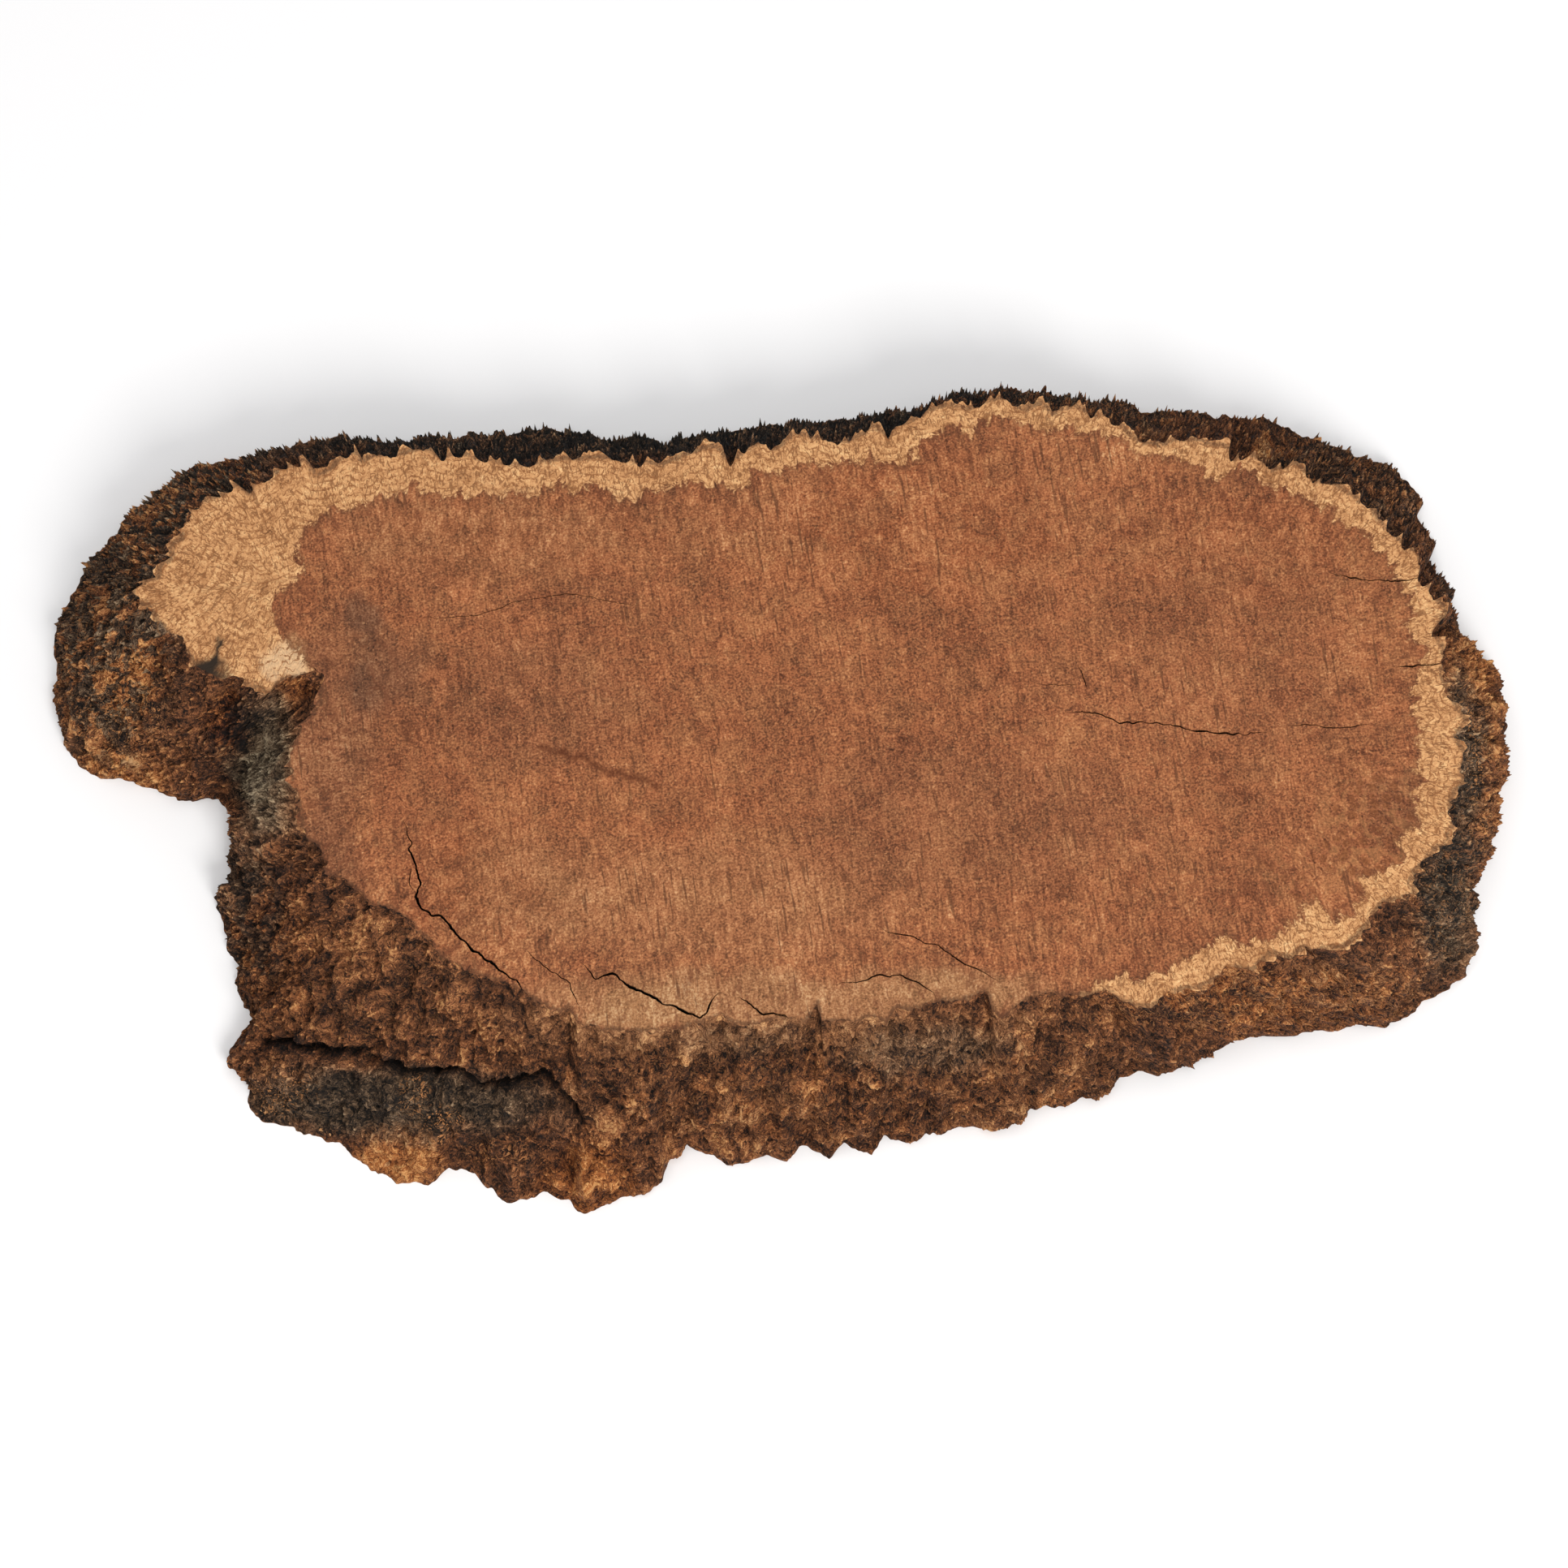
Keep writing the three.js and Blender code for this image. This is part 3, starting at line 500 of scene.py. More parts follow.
def mesh_object(name, points, faces, smooth_faces=True):
    """A mesh object from points in millimetres about the drawing's origin, and its faces."""
    mesh = bpy.data.meshes.new(name)
    placed = (points.reshape(-1, 3) - np.append(MIDDLE, 0)) * METRE
    mesh.from_pydata(placed, [], faces)
    mesh.polygons.foreach_set("use_smooth", np.full(len(mesh.polygons), smooth_faces))
    mesh.update()
    made = bpy.data.objects.new(name, mesh)
    bpy.context.scene.collection.objects.link(made)
    return made


def give(mesh, name, values):
    """A number at every vertex of the mesh, for its material to read."""
    layer = mesh.attributes.new(name, "FLOAT", "POINT")
    layer.data.foreach_set("value", np.ascontiguousarray(values, np.float32).ravel())


# A patch fades out between these shares of its half-width and half-height.
PATCH_FADE = (1.35, 0.55)


def spread(points, patches):
    """Sum of soft oval patches, each as x, y, half-width, half-height and amount."""
    total = np.zeros(points.shape[:-1])
    for x, y, wide, high, amount in patches:
        reach = np.hypot((points[..., 0] - x) / wide, (points[..., 1] - y) / high)
        total += amount * smooth(*PATCH_FADE, reach)
    return total


# Patches of the bark, placed over the plane of the sawn face as they are seen from above
# the south side: lighter and darker, rusty, weathered grey, black crust, worn like the face,
# and flecked with torn wood. The darker tone patches at -180, 20 over the pit and at -160, -86
# where the ledge's crease begins are painted shade. The tone is added to a middle one, and
# what is worn fades out between two shares of the way down the flank.
MIDDLE_TONE = 0.5
WORN_SHARES = (0.26, 0.04)
BARK_PATCHES = {"tone": [
    (-100, 122, 85, 12, -0.12), (-10, 126, 62, 12, -0.12), (52, 137, 42, 10, -0.08),
    (124, 122, 6, 5, 0.2), (161, 115, 5, 4, 0.35), (-222, 62, 24, 56, 0.13),
    (-200, 108, 30, 22, 0.13), (-216, 37, 9, 12, 0.14), (-224, 20, 4, 6, 0.25),
    # The last two patches on the next line are painted shade: over the pit and at the crease's
    # west end.
    (-215, 4, 14, 7, 0.18), (-180, 20, 9, 9, -0.3), (-160, -86, 6, 4, -0.3),
    (-123, -122, 14, 8, 0.36),
    (150, -71, 50, 11, 0.09), (213, -42, 12, 20, 0.1), (10, -98, 90, 14, -0.05),
    (104, -80, 22, 14, -0.05), (226, 40, 9, 10, 0.12), (231, 0, 3, 40, 0.15),
    (223, 6, 6, 30, 0.08), (226, -57, 6, 4, 0.35), (180, 112, 44, 18, -0.02),
    (-140, -66, 24, 18, -0.06), (-169, 5, 10, 20, 0.12), (62, -90, 20, 12, 0.06),
    (-40, -105, 14, 12, 0.02), (-122, -105, 52, 10, -0.07), (195, -60, 16, 8, 0.1),
], "rust": [
    (-180, 20, 9, 14, 0.8), (-161, 33, 8, 5, 0.8), (-215, 4, 14, 9, 0.8), (-216, 37, 12, 14, 0.5),
    (-222, 62, 24, 50, 0.15), (-63, -130, 15, 12, 0.9), (-123, -122, 15, 10, 0.8),
    (150, -71, 50, 12, 0.6), (226, 42, 10, 12, 0.6), (231, 0, 4, 40, 0.3), (161, 115, 6, 5, 0.7),
    (180, 112, 36, 16, 0.1), (-165, -55, 14, 30, 0.3), (10, -98, 100, 22, 0.25),
], "grey": [
    (-169, 6, 11, 24, 0.9), (-170, 2, 8, 8, 0.4), (-122, -105, 52, 11, 0.75),
    (215, -42, 10, 20, 0.6), (222, 10, 6, 30, 0.6), (-100, 122, 85, 12, 0.4),
    (-10, 126, 62, 12, 0.4), (-178, -30, 10, 14, 0.3), (45, -88, 26, 9, 0.5),
    (-15, -84, 20, 5, 0.4),
], "crust": [
    (-222, 62, 24, 60, 0.95), (-200, 108, 30, 22, 0.95), (-100, 122, 85, 12, 1.0),
    (-10, 126, 62, 12, 1.0), (52, 137, 42, 10, 1.0), (110, 136, 40, 14, 0.8),
    (190, 108, 36, 24, 0.7), (224, 74, 10, 24, 0.7), (222, 0, 9, 40, 0.8), (212, -40, 12, 22, 0.8),
    (130, -72, 26, 8, 0.5), (180, -68, 34, 12, 0.35), (-178, 18, 12, 16, 0.6),
    (-174, -48, 14, 30, 0.7), (-134, -104, 50, 12, 0.35), (20, -100, 110, 20, 0.25),
], "worn": [
    (-66, -82, 30, 10, 0.35), (20, -84, 80, 10, 0.45), (-165, 0, 14, 30, 0.3),
], "flecks": [
    (-222, 62, 24, 56, 0.35), (-215, 16, 16, 20, 0.7), (-160, -100, 10, 8, 0.9),
    (-118, -104, 6, 6, 0.9), (-108, -113, 6, 6, 0.9), (-90, -122, 10, 6, 0.8),
    (-123, -122, 14, 9, 0.6), (-63, -130, 14, 10, 0.25), (150, -71, 60, 12, 0.6),
    (212, -40, 12, 22, 0.4), (229, 10, 6, 50, 0.6), (222, 20, 10, 50, 0.3),
    (195, 108, 40, 24, 0.5), (20, -96, 100, 18, 0.3), (-140, -68, 40, 22, 0.25),
    (110, 136, 40, 14, 0.4),
]}


def bark_shell(name, first, last):
    """A closed shell of bark from one rib to another.

    A closed profile is carried along the ribs: down the outer face from the cut edge to the
    foot, then back up an inner face. The last few columns sink, to pass under the next shell.
    """
    start, stop = rib_distances()[[first, last]]
    steps = max(2, round((stop - start) / BARK_PITCH))
    distance = start + (stop - start) / steps * np.arange(steps + 1 + TUCK_COLUMNS)
    top, foot, _ = ribs_at(distance)
    slant = np.hypot(np.linalg.norm(foot - top, axis=1), THICKNESS).mean()
    down = np.linspace(0, 1, round(slant / BARK_PITCH) + 1)
    outer, facing, fine, crease = flank(distance, down)
    back = flank(distance, INNER_SHARES)[0] - facing[None] * SHELL_DEPTH
    back[..., 2] = np.clip(back[..., 2], *INNER_LEVELS)
    points = np.concatenate([outer, back])
    tuck = np.clip(np.arange(len(distance)) - steps, 0, TUCK_COLUMNS) / TUCK_COLUMNS
    points = points - facing[None] * (TUCK_DEPTH * tuck)[None, :, None]
    points[..., 2] = np.clip(points[..., 2], 0, THICKNESS)
    points = np.clip(points, *box_corners())
    rows, columns = points.shape[:2]
    here = np.arange(rows)[:, None] * columns + np.arange(columns - 1)[None]
    below = ((np.arange(rows) + 1) % rows)[:, None] * columns + np.arange(columns - 1)[None]
    quads = np.stack([here, here + 1, below + 1, below], -1).reshape(-1, 4)
    ends = [(np.arange(rows) * columns).tolist(),
            (np.arange(rows)[::-1] * columns + columns - 1).tolist()]
    made = mesh_object(name, points, quads.tolist() + ends)
    seen = against_face(points)
    seen = warped(flat(seen), *BARK_WARP)[..., :2] + waves(flat(seen), BARK_RAGS)[..., None]
    share = np.zeros((3, rows, columns))
    share[:, : len(outer)] = fine, crease, np.repeat(down[:, None], columns, 1)
    # The fine height and the crease's share, by which the bark material paints shade into the
    # hollows and along the crease.
    give(made.data, "height", share[0])
    give(made.data, "crease", share[1])
    for kind, patches in BARK_PATCHES.items():
        amount = spread(seen, patches)
        amount = MIDDLE_TONE + amount if kind == "tone" else np.clip(amount, 0, 1)
        if kind == "worn":
            uneven = share[2] + waves(flat(seen), WORN_RAGS)
            amount = amount * smooth(*WORN_SHARES, uneven)
        give(made.data, kind, amount)
    return made


def nearest_on(loop, points):
    """Distance from each point to a closed line, and how far along the line it is nearest."""
    after = np.roll(loop, -1, axis=0)
    step = after - loop
    length = np.linalg.norm(step, axis=1)
    start = np.concatenate([[0], np.cumsum(length)[:-1]])
    best = np.full(len(points), 1e9)
    along = np.zeros(len(points))
    for corner, move, reach, begun in zip(loop, step, length, start):
        share = np.clip(((points - corner) @ move) / max(reach, 1e-6) ** 2, 0, 1)
        gap = np.linalg.norm(points - corner - share[:, None] * move, axis=1)
        closer = gap < best
        best = np.where(closer, gap, best)
        along = np.where(closer, begun + share * reach, along)
    return best, along


def lattice_slab():
    """A closed box round the slice: a fine lattice on top, a wider one below, four sides."""
    low, high = LATTICE
    points, faces, borders, first = [], [], [], 0
    for pitch, level in zip(LATTICE_PITCH, (THICKNESS, 0.0)):
        count = np.ceil((high - low) / pitch).astype(int) + 1
        x, y = (np.linspace(low[k], high[k], count[k]) for k in range(2))
        grid = np.stack(np.meshgrid(x, y, indexing="ij") + [np.full(count, level)], -1)
        number = first + np.arange(count[0] * count[1]).reshape(count)
        quads = [number[:-1, :-1], number[1:, :-1], number[1:, 1:], number[:-1, 1:]]
        quads = np.stack(quads if level else quads[::-1], -1).reshape(-1, 4)
        points.append(grid.reshape(-1, 3))
        faces += quads.tolist()
        borders.append([number[:, 0], number[-1], number[::-1, -1], number[0, ::-1]])
        first += number.size
    for above, under in zip(*borders):
        faces.append(under.tolist() + above[::-1].tolist())
    return mesh_object("lattice", np.concatenate(points), faces, False)


def outline_prism():
    """A solid inside the bark, flush with it at the two sawn faces and set in between them."""
    distance = np.arange(0, rib_distances()[-1] - BARK_PITCH / 2, BARK_PITCH)
    top, foot, outward = ribs_at(distance)
    points = np.stack([flat(top * (1 - share) + foot * share - outward * inset, level)
                       for share, inset, level in PRISM_ROWS])
    low, high = box_corners()
    points[..., :2] = np.clip(points[..., :2], low[:2], high[:2])
    last, count = len(PRISM_ROWS) - 1, len(distance)
    here = np.arange(last)[:, None] * count + np.arange(count)[None]
    beside = np.arange(last)[:, None] * count + ((np.arange(count) + 1) % count)[None]
    quads = np.stack([here, beside, beside + count, here + count], -1).reshape(-1, 4)
    caps = [np.arange(count)[::-1].tolist(), (last * count + np.arange(count)).tolist()]
    return mesh_object("prism", points, quads.tolist() + caps)


def crack_blades():
    """Blades with a V section, carried along each crack's path, which wanders a little."""
    points, faces, first = [], [], 0
    for number, (width, depth, path) in enumerate(CRACKS):
        path = np.array(path, float)
        along = travelled(path)
        steps = np.linspace(0, along[-1], max(4, round(along[-1] / CRACK_STEP)))
        line = np.stack([np.interp(steps, along, path[:, k]) for k in range(2)], -1)
        ahead = np.gradient(line, axis=0)
        across = np.stack([-ahead[:, 1], ahead[:, 0]], -1)
        across /= np.linalg.norm(across, axis=1, keepdims=True)
        line = line + across * waves(flat(line, number), CRACK_STRAYS)[:, None]
        from_tip = np.minimum(steps, along[-1] - steps)
        taper = np.minimum(1, CRACK_TAPER * from_tip / along[-1] + CRACK_TIP)
        half = 0.5 * width * taper * (1 + waves(flat(line, number), CRACK_SWELLS))
        sides = [flat(line + side * across * half[:, None], THICKNESS + CRACK_PROUD)
                 for side in (1, -1)]
        deep = flat(line)
        deep[:, 2] = THICKNESS - depth * taper
        points.append(np.stack(sides + [deep], 1).reshape(-1, 3))
        here = first + 3 * np.arange(len(steps) - 1)
        for a, b in ((0, 1), (1, 2), (2, 0)):
            faces += np.stack([here + a, here + b, here + b + 3, here + a + 3], -1).tolist()
        last = first + 3 * (len(steps) - 1)
        faces += [[first, first + 2, first + 1], [last, last + 1, last + 2]]
        first += 3 * len(steps)
    return mesh_object("blades", np.concatenate(points), faces, False)


def within(loop, points):
    """Which points a closed line goes round, by counting its crossings to their east."""
    inside = np.zeros(len(points), bool)
    for (x1, y1), (x2, y2) in zip(loop, np.roll(loop, -1, axis=0)):
        if y1 != y2:
            spans = (points[:, 1] > y1) != (points[:, 1] > y2)
            inside ^= spans & (points[:, 0] < x1 + (points[:, 1] - y1) * (x2 - x1) / (y2 - y1))
    return inside


# Patches of the sawn face: dull dark wood, pale wood, orange wood, small brown eyes and the
# dark inlet in the sapwood. Then the path of the reddish vein, and how far from it the vein
# starts and is full. On the underside, the width of the sapwood ring. How many times the
# edge is smoothed before the wood's streaks are laid along it.
FACE_PATCHES = {"dark": [
    (-80, 30, 34, 22, 0.25), (60, -12, 60, 26, 0.22), (150, 50, 40, 40, 0.12),
    (-141, 57, 8, 8, 0.8), (-131, 38, 13, 15, 0.65), (-148, 20, 16, 34, 0.45),
    (-150, -34, 16, 26, 0.45), (-120, -62, 22, 9, 0.4), (200, -8, 9, 12, 0.25),
    (-90, -72, 16, 5, 0.3),
], "pale": [
    (0, -73, 78, 10, 0.7), (-58, -80, 10, 4, 0.8), (-42, -76, 16, 6, 0.8), (-164, 43, 7, 6, 0.9),
    (60, -70, 20, 6, 0.4), (-20, -40, 60, 20, 0.25), (-105, 84, 46, 16, 0.25),
    (-30, 90, 50, 12, 0.1), (-85, -35, 26, 20, 0.25),
], "orange": [
    (-100, 84, 46, 16, 0.6), (-20, 90, 50, 14, 0.3), (-100, -38, 22, 26, 0.7),
    (-60, -40, 18, 8, 0.4), (45, 88, 48, 26, 0.5), (150, 80, 40, 20, 0.35),
], "eyes": [
    (192, -14, 18, 22, 0.8), (196, 60, 12, 30, 0.25), (170, -30, 20, 12, 0.5),
], "inlet": [
    (-188, 40, 5, 4.5, 1.2), (-187.5, 46, 1.6, 4.0, 1.2),
]}
RED_VEIN = np.array([
    (-80, 12.5), (-71, 9.7), (-65, 8.7), (-58, 4.3), (-50, 2.1), (-41, -0.6),
], float)
VEIN_REACH = (1.8, 0.5)
FOOT_SAPWOOD = 14
SMOOTHINGS = 12


def sawn_wood():
    """The wood inside the bark: a lattice slab cut to the prism, with the blades cut out of it.

    Its points carry what the material reads, in mm: "sap", how far outside the heartwood they
    are, "rim", how far from the cut edge, and "along" and "out", where they are along and
    outside that edge once it is smoothed. "comb" is the tooth of the edge nearest to them.
    On the underside the foot's outline takes the edge's place, and no patch shows.
    """
    slab = lattice_slab()
    tools = {"INTERSECT": outline_prism(), "DIFFERENCE": crack_blades()}
    for operation, tool in tools.items():
        cut = slab.modifiers.new(operation, "BOOLEAN")
        cut.object = tool
        cut.operation = operation
        cut.solver = "MANIFOLD"
    shaped = slab.evaluated_get(bpy.context.evaluated_depsgraph_get())
    mesh = bpy.data.meshes.new_from_object(shaped)
    mesh.name = "sawn_wood"
    for used in (slab, *tools.values()):
        bpy.data.objects.remove(used)
    made = bpy.data.objects.new("sawn_wood", mesh)
    bpy.context.scene.collection.objects.link(made)
    mesh.polygons.foreach_set("use_smooth", np.zeros(len(mesh.polygons), bool))
    where = np.empty(len(mesh.vertices) * 3)
    mesh.vertices.foreach_get("co", where)
    where = where.reshape(-1, 3) / METRE + np.append(MIDDLE, 0)
    plan = where[:, :2]
    under = where[:, 2] < THICKNESS / 2
    gap, _ = nearest_on(HEART_BORDER, plan)
    edge_gap, edge_along = nearest_on(RIBS[:, :2], plan)
    foot_gap, _ = nearest_on(RIBS[:, 2:], plan)
    sap = np.where(within(HEART_BORDER, plan), -gap, gap)
    soft = RIBS[:, :2]
    for _ in range(SMOOTHINGS):
        soft = (np.roll(soft, 1, axis=0) + 2 * soft + np.roll(soft, -1, axis=0)) / 4
    out, along = nearest_on(soft, plan)
    give(mesh, "sap", np.where(under, FOOT_SAPWOOD - foot_gap, sap))
    give(mesh, "rim", np.where(under, foot_gap, edge_gap))
    give(mesh, "along", np.where(under, plan[:, 0], along))
    give(mesh, "out", np.where(under, plan[:, 1], np.where(within(soft, plan), -out, out)))
    edge = closed(RIBS[:, :2])
    nearest = np.stack([np.interp(edge_along, travelled(edge), row) for row in edge.T], -1)
    give(mesh, "comb", comb_at(nearest))
    uneven = warped(flat(plan), *FACE_WARP)[:, :2] + waves(flat(plan), FACE_RAGS)[:, None]
    for name, patches in FACE_PATCHES.items():
        give(mesh, name, np.where(under, 0, np.clip(spread(uneven, patches), 0, 1)))
    bent = warped(flat(plan), *VEIN_WARP)[:, :2]
    vein = np.min([np.linalg.norm(bent - (a * (1 - t) + b * t), axis=1)
                   for a, b in zip(RED_VEIN, RED_VEIN[1:]) for t in np.linspace(0, 1, 9)], axis=0)
    give(mesh, "vein", np.where(under, 0, smooth(*VEIN_REACH, vein)))
    return made


# Settings that many nodes share: a mix of two colours, a smooth step, and a product plus a sum.
RGBA = {"data_type": "RGBA"}
SOFT = {"interpolation_type": "SMOOTHSTEP"}
SUM = {"operation": "MULTIPLY_ADD"}

# How far the saw marks lean, and how fast the growth rings follow each other, 2.6 mm apart.
SAW_LEAN = math.radians(-9)
RING_TURN = 2.4


def colour(code):
    """A hex colour as linear red, green, blue and full opacity."""
    shares = [int(code[k:k + 2], 16) / 255 for k in (0, 2, 4)]
    return [s / 12.92 if s <= 0.04045 else ((s + 0.055) / 1.055) ** 2.4 for s in shares] + [1.0]


def per_mm(size):
    """How many lumps "size" millimetres across there are in a metre, as a noise's scale."""
    return 1 / (size * METRE)


def add(tree, kind, inputs, out=0, stops=None, **settings):
    """Adds a node with its settings, links or sets its inputs, and gives back one output.

    "inputs" are values or sockets by name or number, and "stops" a ramp's places and colours.
    """
    made = tree.nodes.new("ShaderNode" + kind)
    for name, value in settings.items():
        setattr(made, name, value)
    for name, value in inputs.items():
        if isinstance(value, bpy.types.NodeSocket):
            tree.links.new(value, made.inputs[name])
        else:
            made.inputs[name].default_value = value
    if stops:
        elements = made.color_ramp.elements
        for place, _ in stops[2:]:
            elements.new(place)
        for element, (place, code) in zip(elements, stops):
            element.position = place
            element.color = colour(code)
    return made.outputs[out] if made.outputs else made


def new_material(name):
    """A material with no nodes yet, and its node tree."""
    made = bpy.data.materials.new(name)
    made.use_nodes = True
    made.node_tree.nodes.clear()
    return made, made.node_tree


def sources(tree, attributes):
    """The place in metres, and the value of each attribute by its name."""
    read = {name: add(tree, "Attribute", {}, "Fac", attribute_name=name) for name in attributes}
    return add(tree, "TexCoord", {}, "Object"), read


def swirled(tree, where, size, reach):
    """A push by a noise "size" mm across, up to half of "reach" mm, and the place so pushed."""
    push = add(tree, "TexNoise", {"Vector": where, "Scale": per_mm(size), "Detail": 2.0}, "Color")
    push = add(tree, "VectorMath", {0: push, 1: (0.5, 0.5, 0.5)}, operation="SUBTRACT")
    push = add(tree, "VectorMath", {0: push, "Scale": reach * METRE}, operation="SCALE")
    return push, add(tree, "VectorMath", {0: where, 1: push}, operation="ADD")


def ramped(tree, value, stops, others):
    """The colour of "value" on one ramp, crossed over to each other ramp by a share."""
    face = add(tree, "ValToRGB", {0: value}, stops=stops)
    for share, other in others:
        tone = add(tree, "ValToRGB", {0: value}, stops=other)
        face = add(tree, "Mix", {0: share, 6: face, 7: tone}, 2, **RGBA)
    return face


def layered(tree, face, layers):
    """A colour with others laid over it in turn.

    Each layer is a socket, the two values of it between which the layer's share goes
    smoothly from the least to the most that come next, a factor of that share, and a colour.
    """
    for source, start, stop, least, most, factor, code in layers:
        share = add(tree, "MapRange", {"Value": source, "From Min": start, "From Max": stop,
                                       "To Min": least, "To Max": most}, **SOFT)
        share = add(tree, "Math", {0: share, 1: factor}, operation="MULTIPLY")
        face = add(tree, "Mix", {0: share, 6: face, 7: colour(code)}, 2, **RGBA)
    return face


def wood_material():
    """Sawn burl: swirling brown heartwood inside a paler ring of sapwood.

    The eye gets a matt face with a grainy mottle, darker slivers that run outward, thin saw
    marks down the face, brown eyes near the east edge, and a ragged gold ring of sapwood
    with growth rings and short brown dashes.
    """
    made, tree = new_material("sawn burl wood")
    where, read = sources(tree, ("sap", "rim", "along", "out", "dark", "pale", "orange", "vein",
                                 "eyes", "inlet", "comb"))
    swirl, curled = swirled(tree, where, 6, 11)
    leaned = add(tree, "VectorRotate", {"Vector": where, "Angle": SAW_LEAN},
                 rotation_type="Z_AXIS")
    runs = add(tree, "CombineXYZ", {0: read["along"], 1: read["out"]})

    # Noises of one size both ways: the size in mm, the detail and the distortion.
    noises = {}
    for name, place, size, detail, bent in (
        ("specks", where, 0.75, 2.0, 0.0), ("dust", where, 0.9, 1.0, 0.0),
        ("curls", curled, 1.9, 3.0, 1.2), ("flecks", curled, 2.7, 2.0, 2.2),
        ("contours", curled, 5.0, 2.0, 1.0), ("blotches", curled, 6.0, 3.0, 0.8),
        ("bands", where, 28.0, 2.0, 0.0),
    ):
        noises[name] = add(tree, "TexNoise", {"Vector": place, "Scale": per_mm(size),
                                              "Detail": detail, "Distortion": bent})

    # Noises drawn out, down the face or out to the edge: their unit in metres, then the
    # width and length in that unit, the detail and the distortion.
    for name, place, unit, wide, long, detail, bent in (
        ("combed", leaned, METRE, 1.1, 11, 2.0, 0.3), ("marks", leaned, METRE, 1.3, 16, 1.0, 0.0),
        ("streaks", runs, 1, 2.4, 8, 3.0, 1.3), ("slivers", runs, 1, 2.0, 5.5, 2.0, 1.0),
        ("dashes", runs, 1, 1.1, 3.4, 3.0, 1.6), ("fingers", runs, 1, 3.4, 10, 2.0, 0.5),
    ):
        drawn = add(tree, "VectorMath", {0: place, 1: (1 / (wide * unit), 1 / (long * unit), 0)},
                    operation="MULTIPLY")
        noises[name] = add(tree, "TexNoise", {"Vector": drawn, "Scale": 1.0, "Detail": detail,
                                              "Distortion": bent})
    curls, blotches = noises["curls"], noises["blotches"]

    # How light the heartwood is: a weighted sum of the noises, streaked near the edge.
    near_edge = add(tree, "MapRange", {"Value": read["out"], "From Min": -70.0, "From Max": -8.0,
                                       "To Min": 0.0, "To Max": 0.7}, **SOFT)
    streaks = add(tree, "Math", {0: noises["streaks"], 1: 0.5}, operation="SUBTRACT")
    streaks = add(tree, "Math", {0: streaks, 1: near_edge}, operation="MULTIPLY")
    contours = add(tree, "Math", {0: noises["contours"], 1: 0.5, 2: 0.018}, operation="COMPARE")
    value = -1.165
    for part, weight in ((noises["specks"], 1.1), (curls, 0.7), (blotches, 0.5),
                         (noises["bands"], 0.5), (noises["combed"], 0.5), (contours, -0.09)):
        value = add(tree, "Math", {0: part, 1: weight, 2: value}, **SUM)
    value = add(tree, "Math", {0: value, 1: streaks}, operation="ADD", use_clamp=True)

    tint = add(tree, "TexNoise", {"Vector": curled, "Scale": per_mm(11), "Detail": 6.0,
                                  "Roughness": 0.75})
    tint = add(tree, "MapRange", {"Value": tint, "From Min": 0.4, "From Max": 0.62,
                                  "To Max": 0.6}, **SOFT)
    heart = ramped(tree, value, [
        (0.0, "43210E"), (0.28, "6D3D24"), (0.48, "925634"), (0.7, "B06D43"), (1.0, "D29A6A")], (
        (read["orange"], [(0.0, "4A200E"), (0.48, "9C5832"), (1.0, "D99A66")]),
        (tint, [(0.0, "3F2714"), (0.28, "6A4128"), (0.48, "8E5A37"), (0.7, "AC7347"),
                (1.0, "CE9D6D")]),
        (read["pale"], [(0.0, "5E3C22"), (0.48, "A37149"), (1.0, "D6AD7E")]),
        (read["dark"], [(0.0, "2E1B11"), (0.48, "6B442D"), (1.0, "9B7353")])))

    # Over it lie flecks, dust, the eyes and their halos, slivers that lean outward, saw marks
    # where the broad bands are high, and the reddish vein.
    ovals = add(tree, "VectorMath", {0: swirl, "Scale": 0.25}, operation="SCALE")
    ovals = add(tree, "VectorMath", {0: where, 1: ovals}, operation="ADD")
    ovals = add(tree, "TexVoronoi", {"Vector": ovals, "Scale": per_mm(4.0)}, "Distance")
    ranked = add(tree, "MapRange", {"Value": noises["bands"], "From Min": 0.45,
                                    "From Max": 0.6}, **SOFT)
    heart = layered(tree, heart, (
        (noises["flecks"], 0.56, 0.67, 0, 0.4, 1.0, "6B3D23"),
        (noises["dust"], 0.66, 0.73, 0, 0.4, 1.0, "CE9663"),
        (ovals, 0.46, 0.3, 0, 0.6, read["eyes"], "70401F"),
        (ovals, 0.5, 0.7, 0, 0.3, read["eyes"], "BC8350"),
        (noises["slivers"], 0.55, 0.66, 0, 0.75, near_edge, "6A3A22"),
        (noises["marks"], 0.6, 0.67, 0, 0.65, ranked, "512E1A"),
        (curls, 0.35, 0.6, 0.5, 0.95, read["vein"], "572A12")))

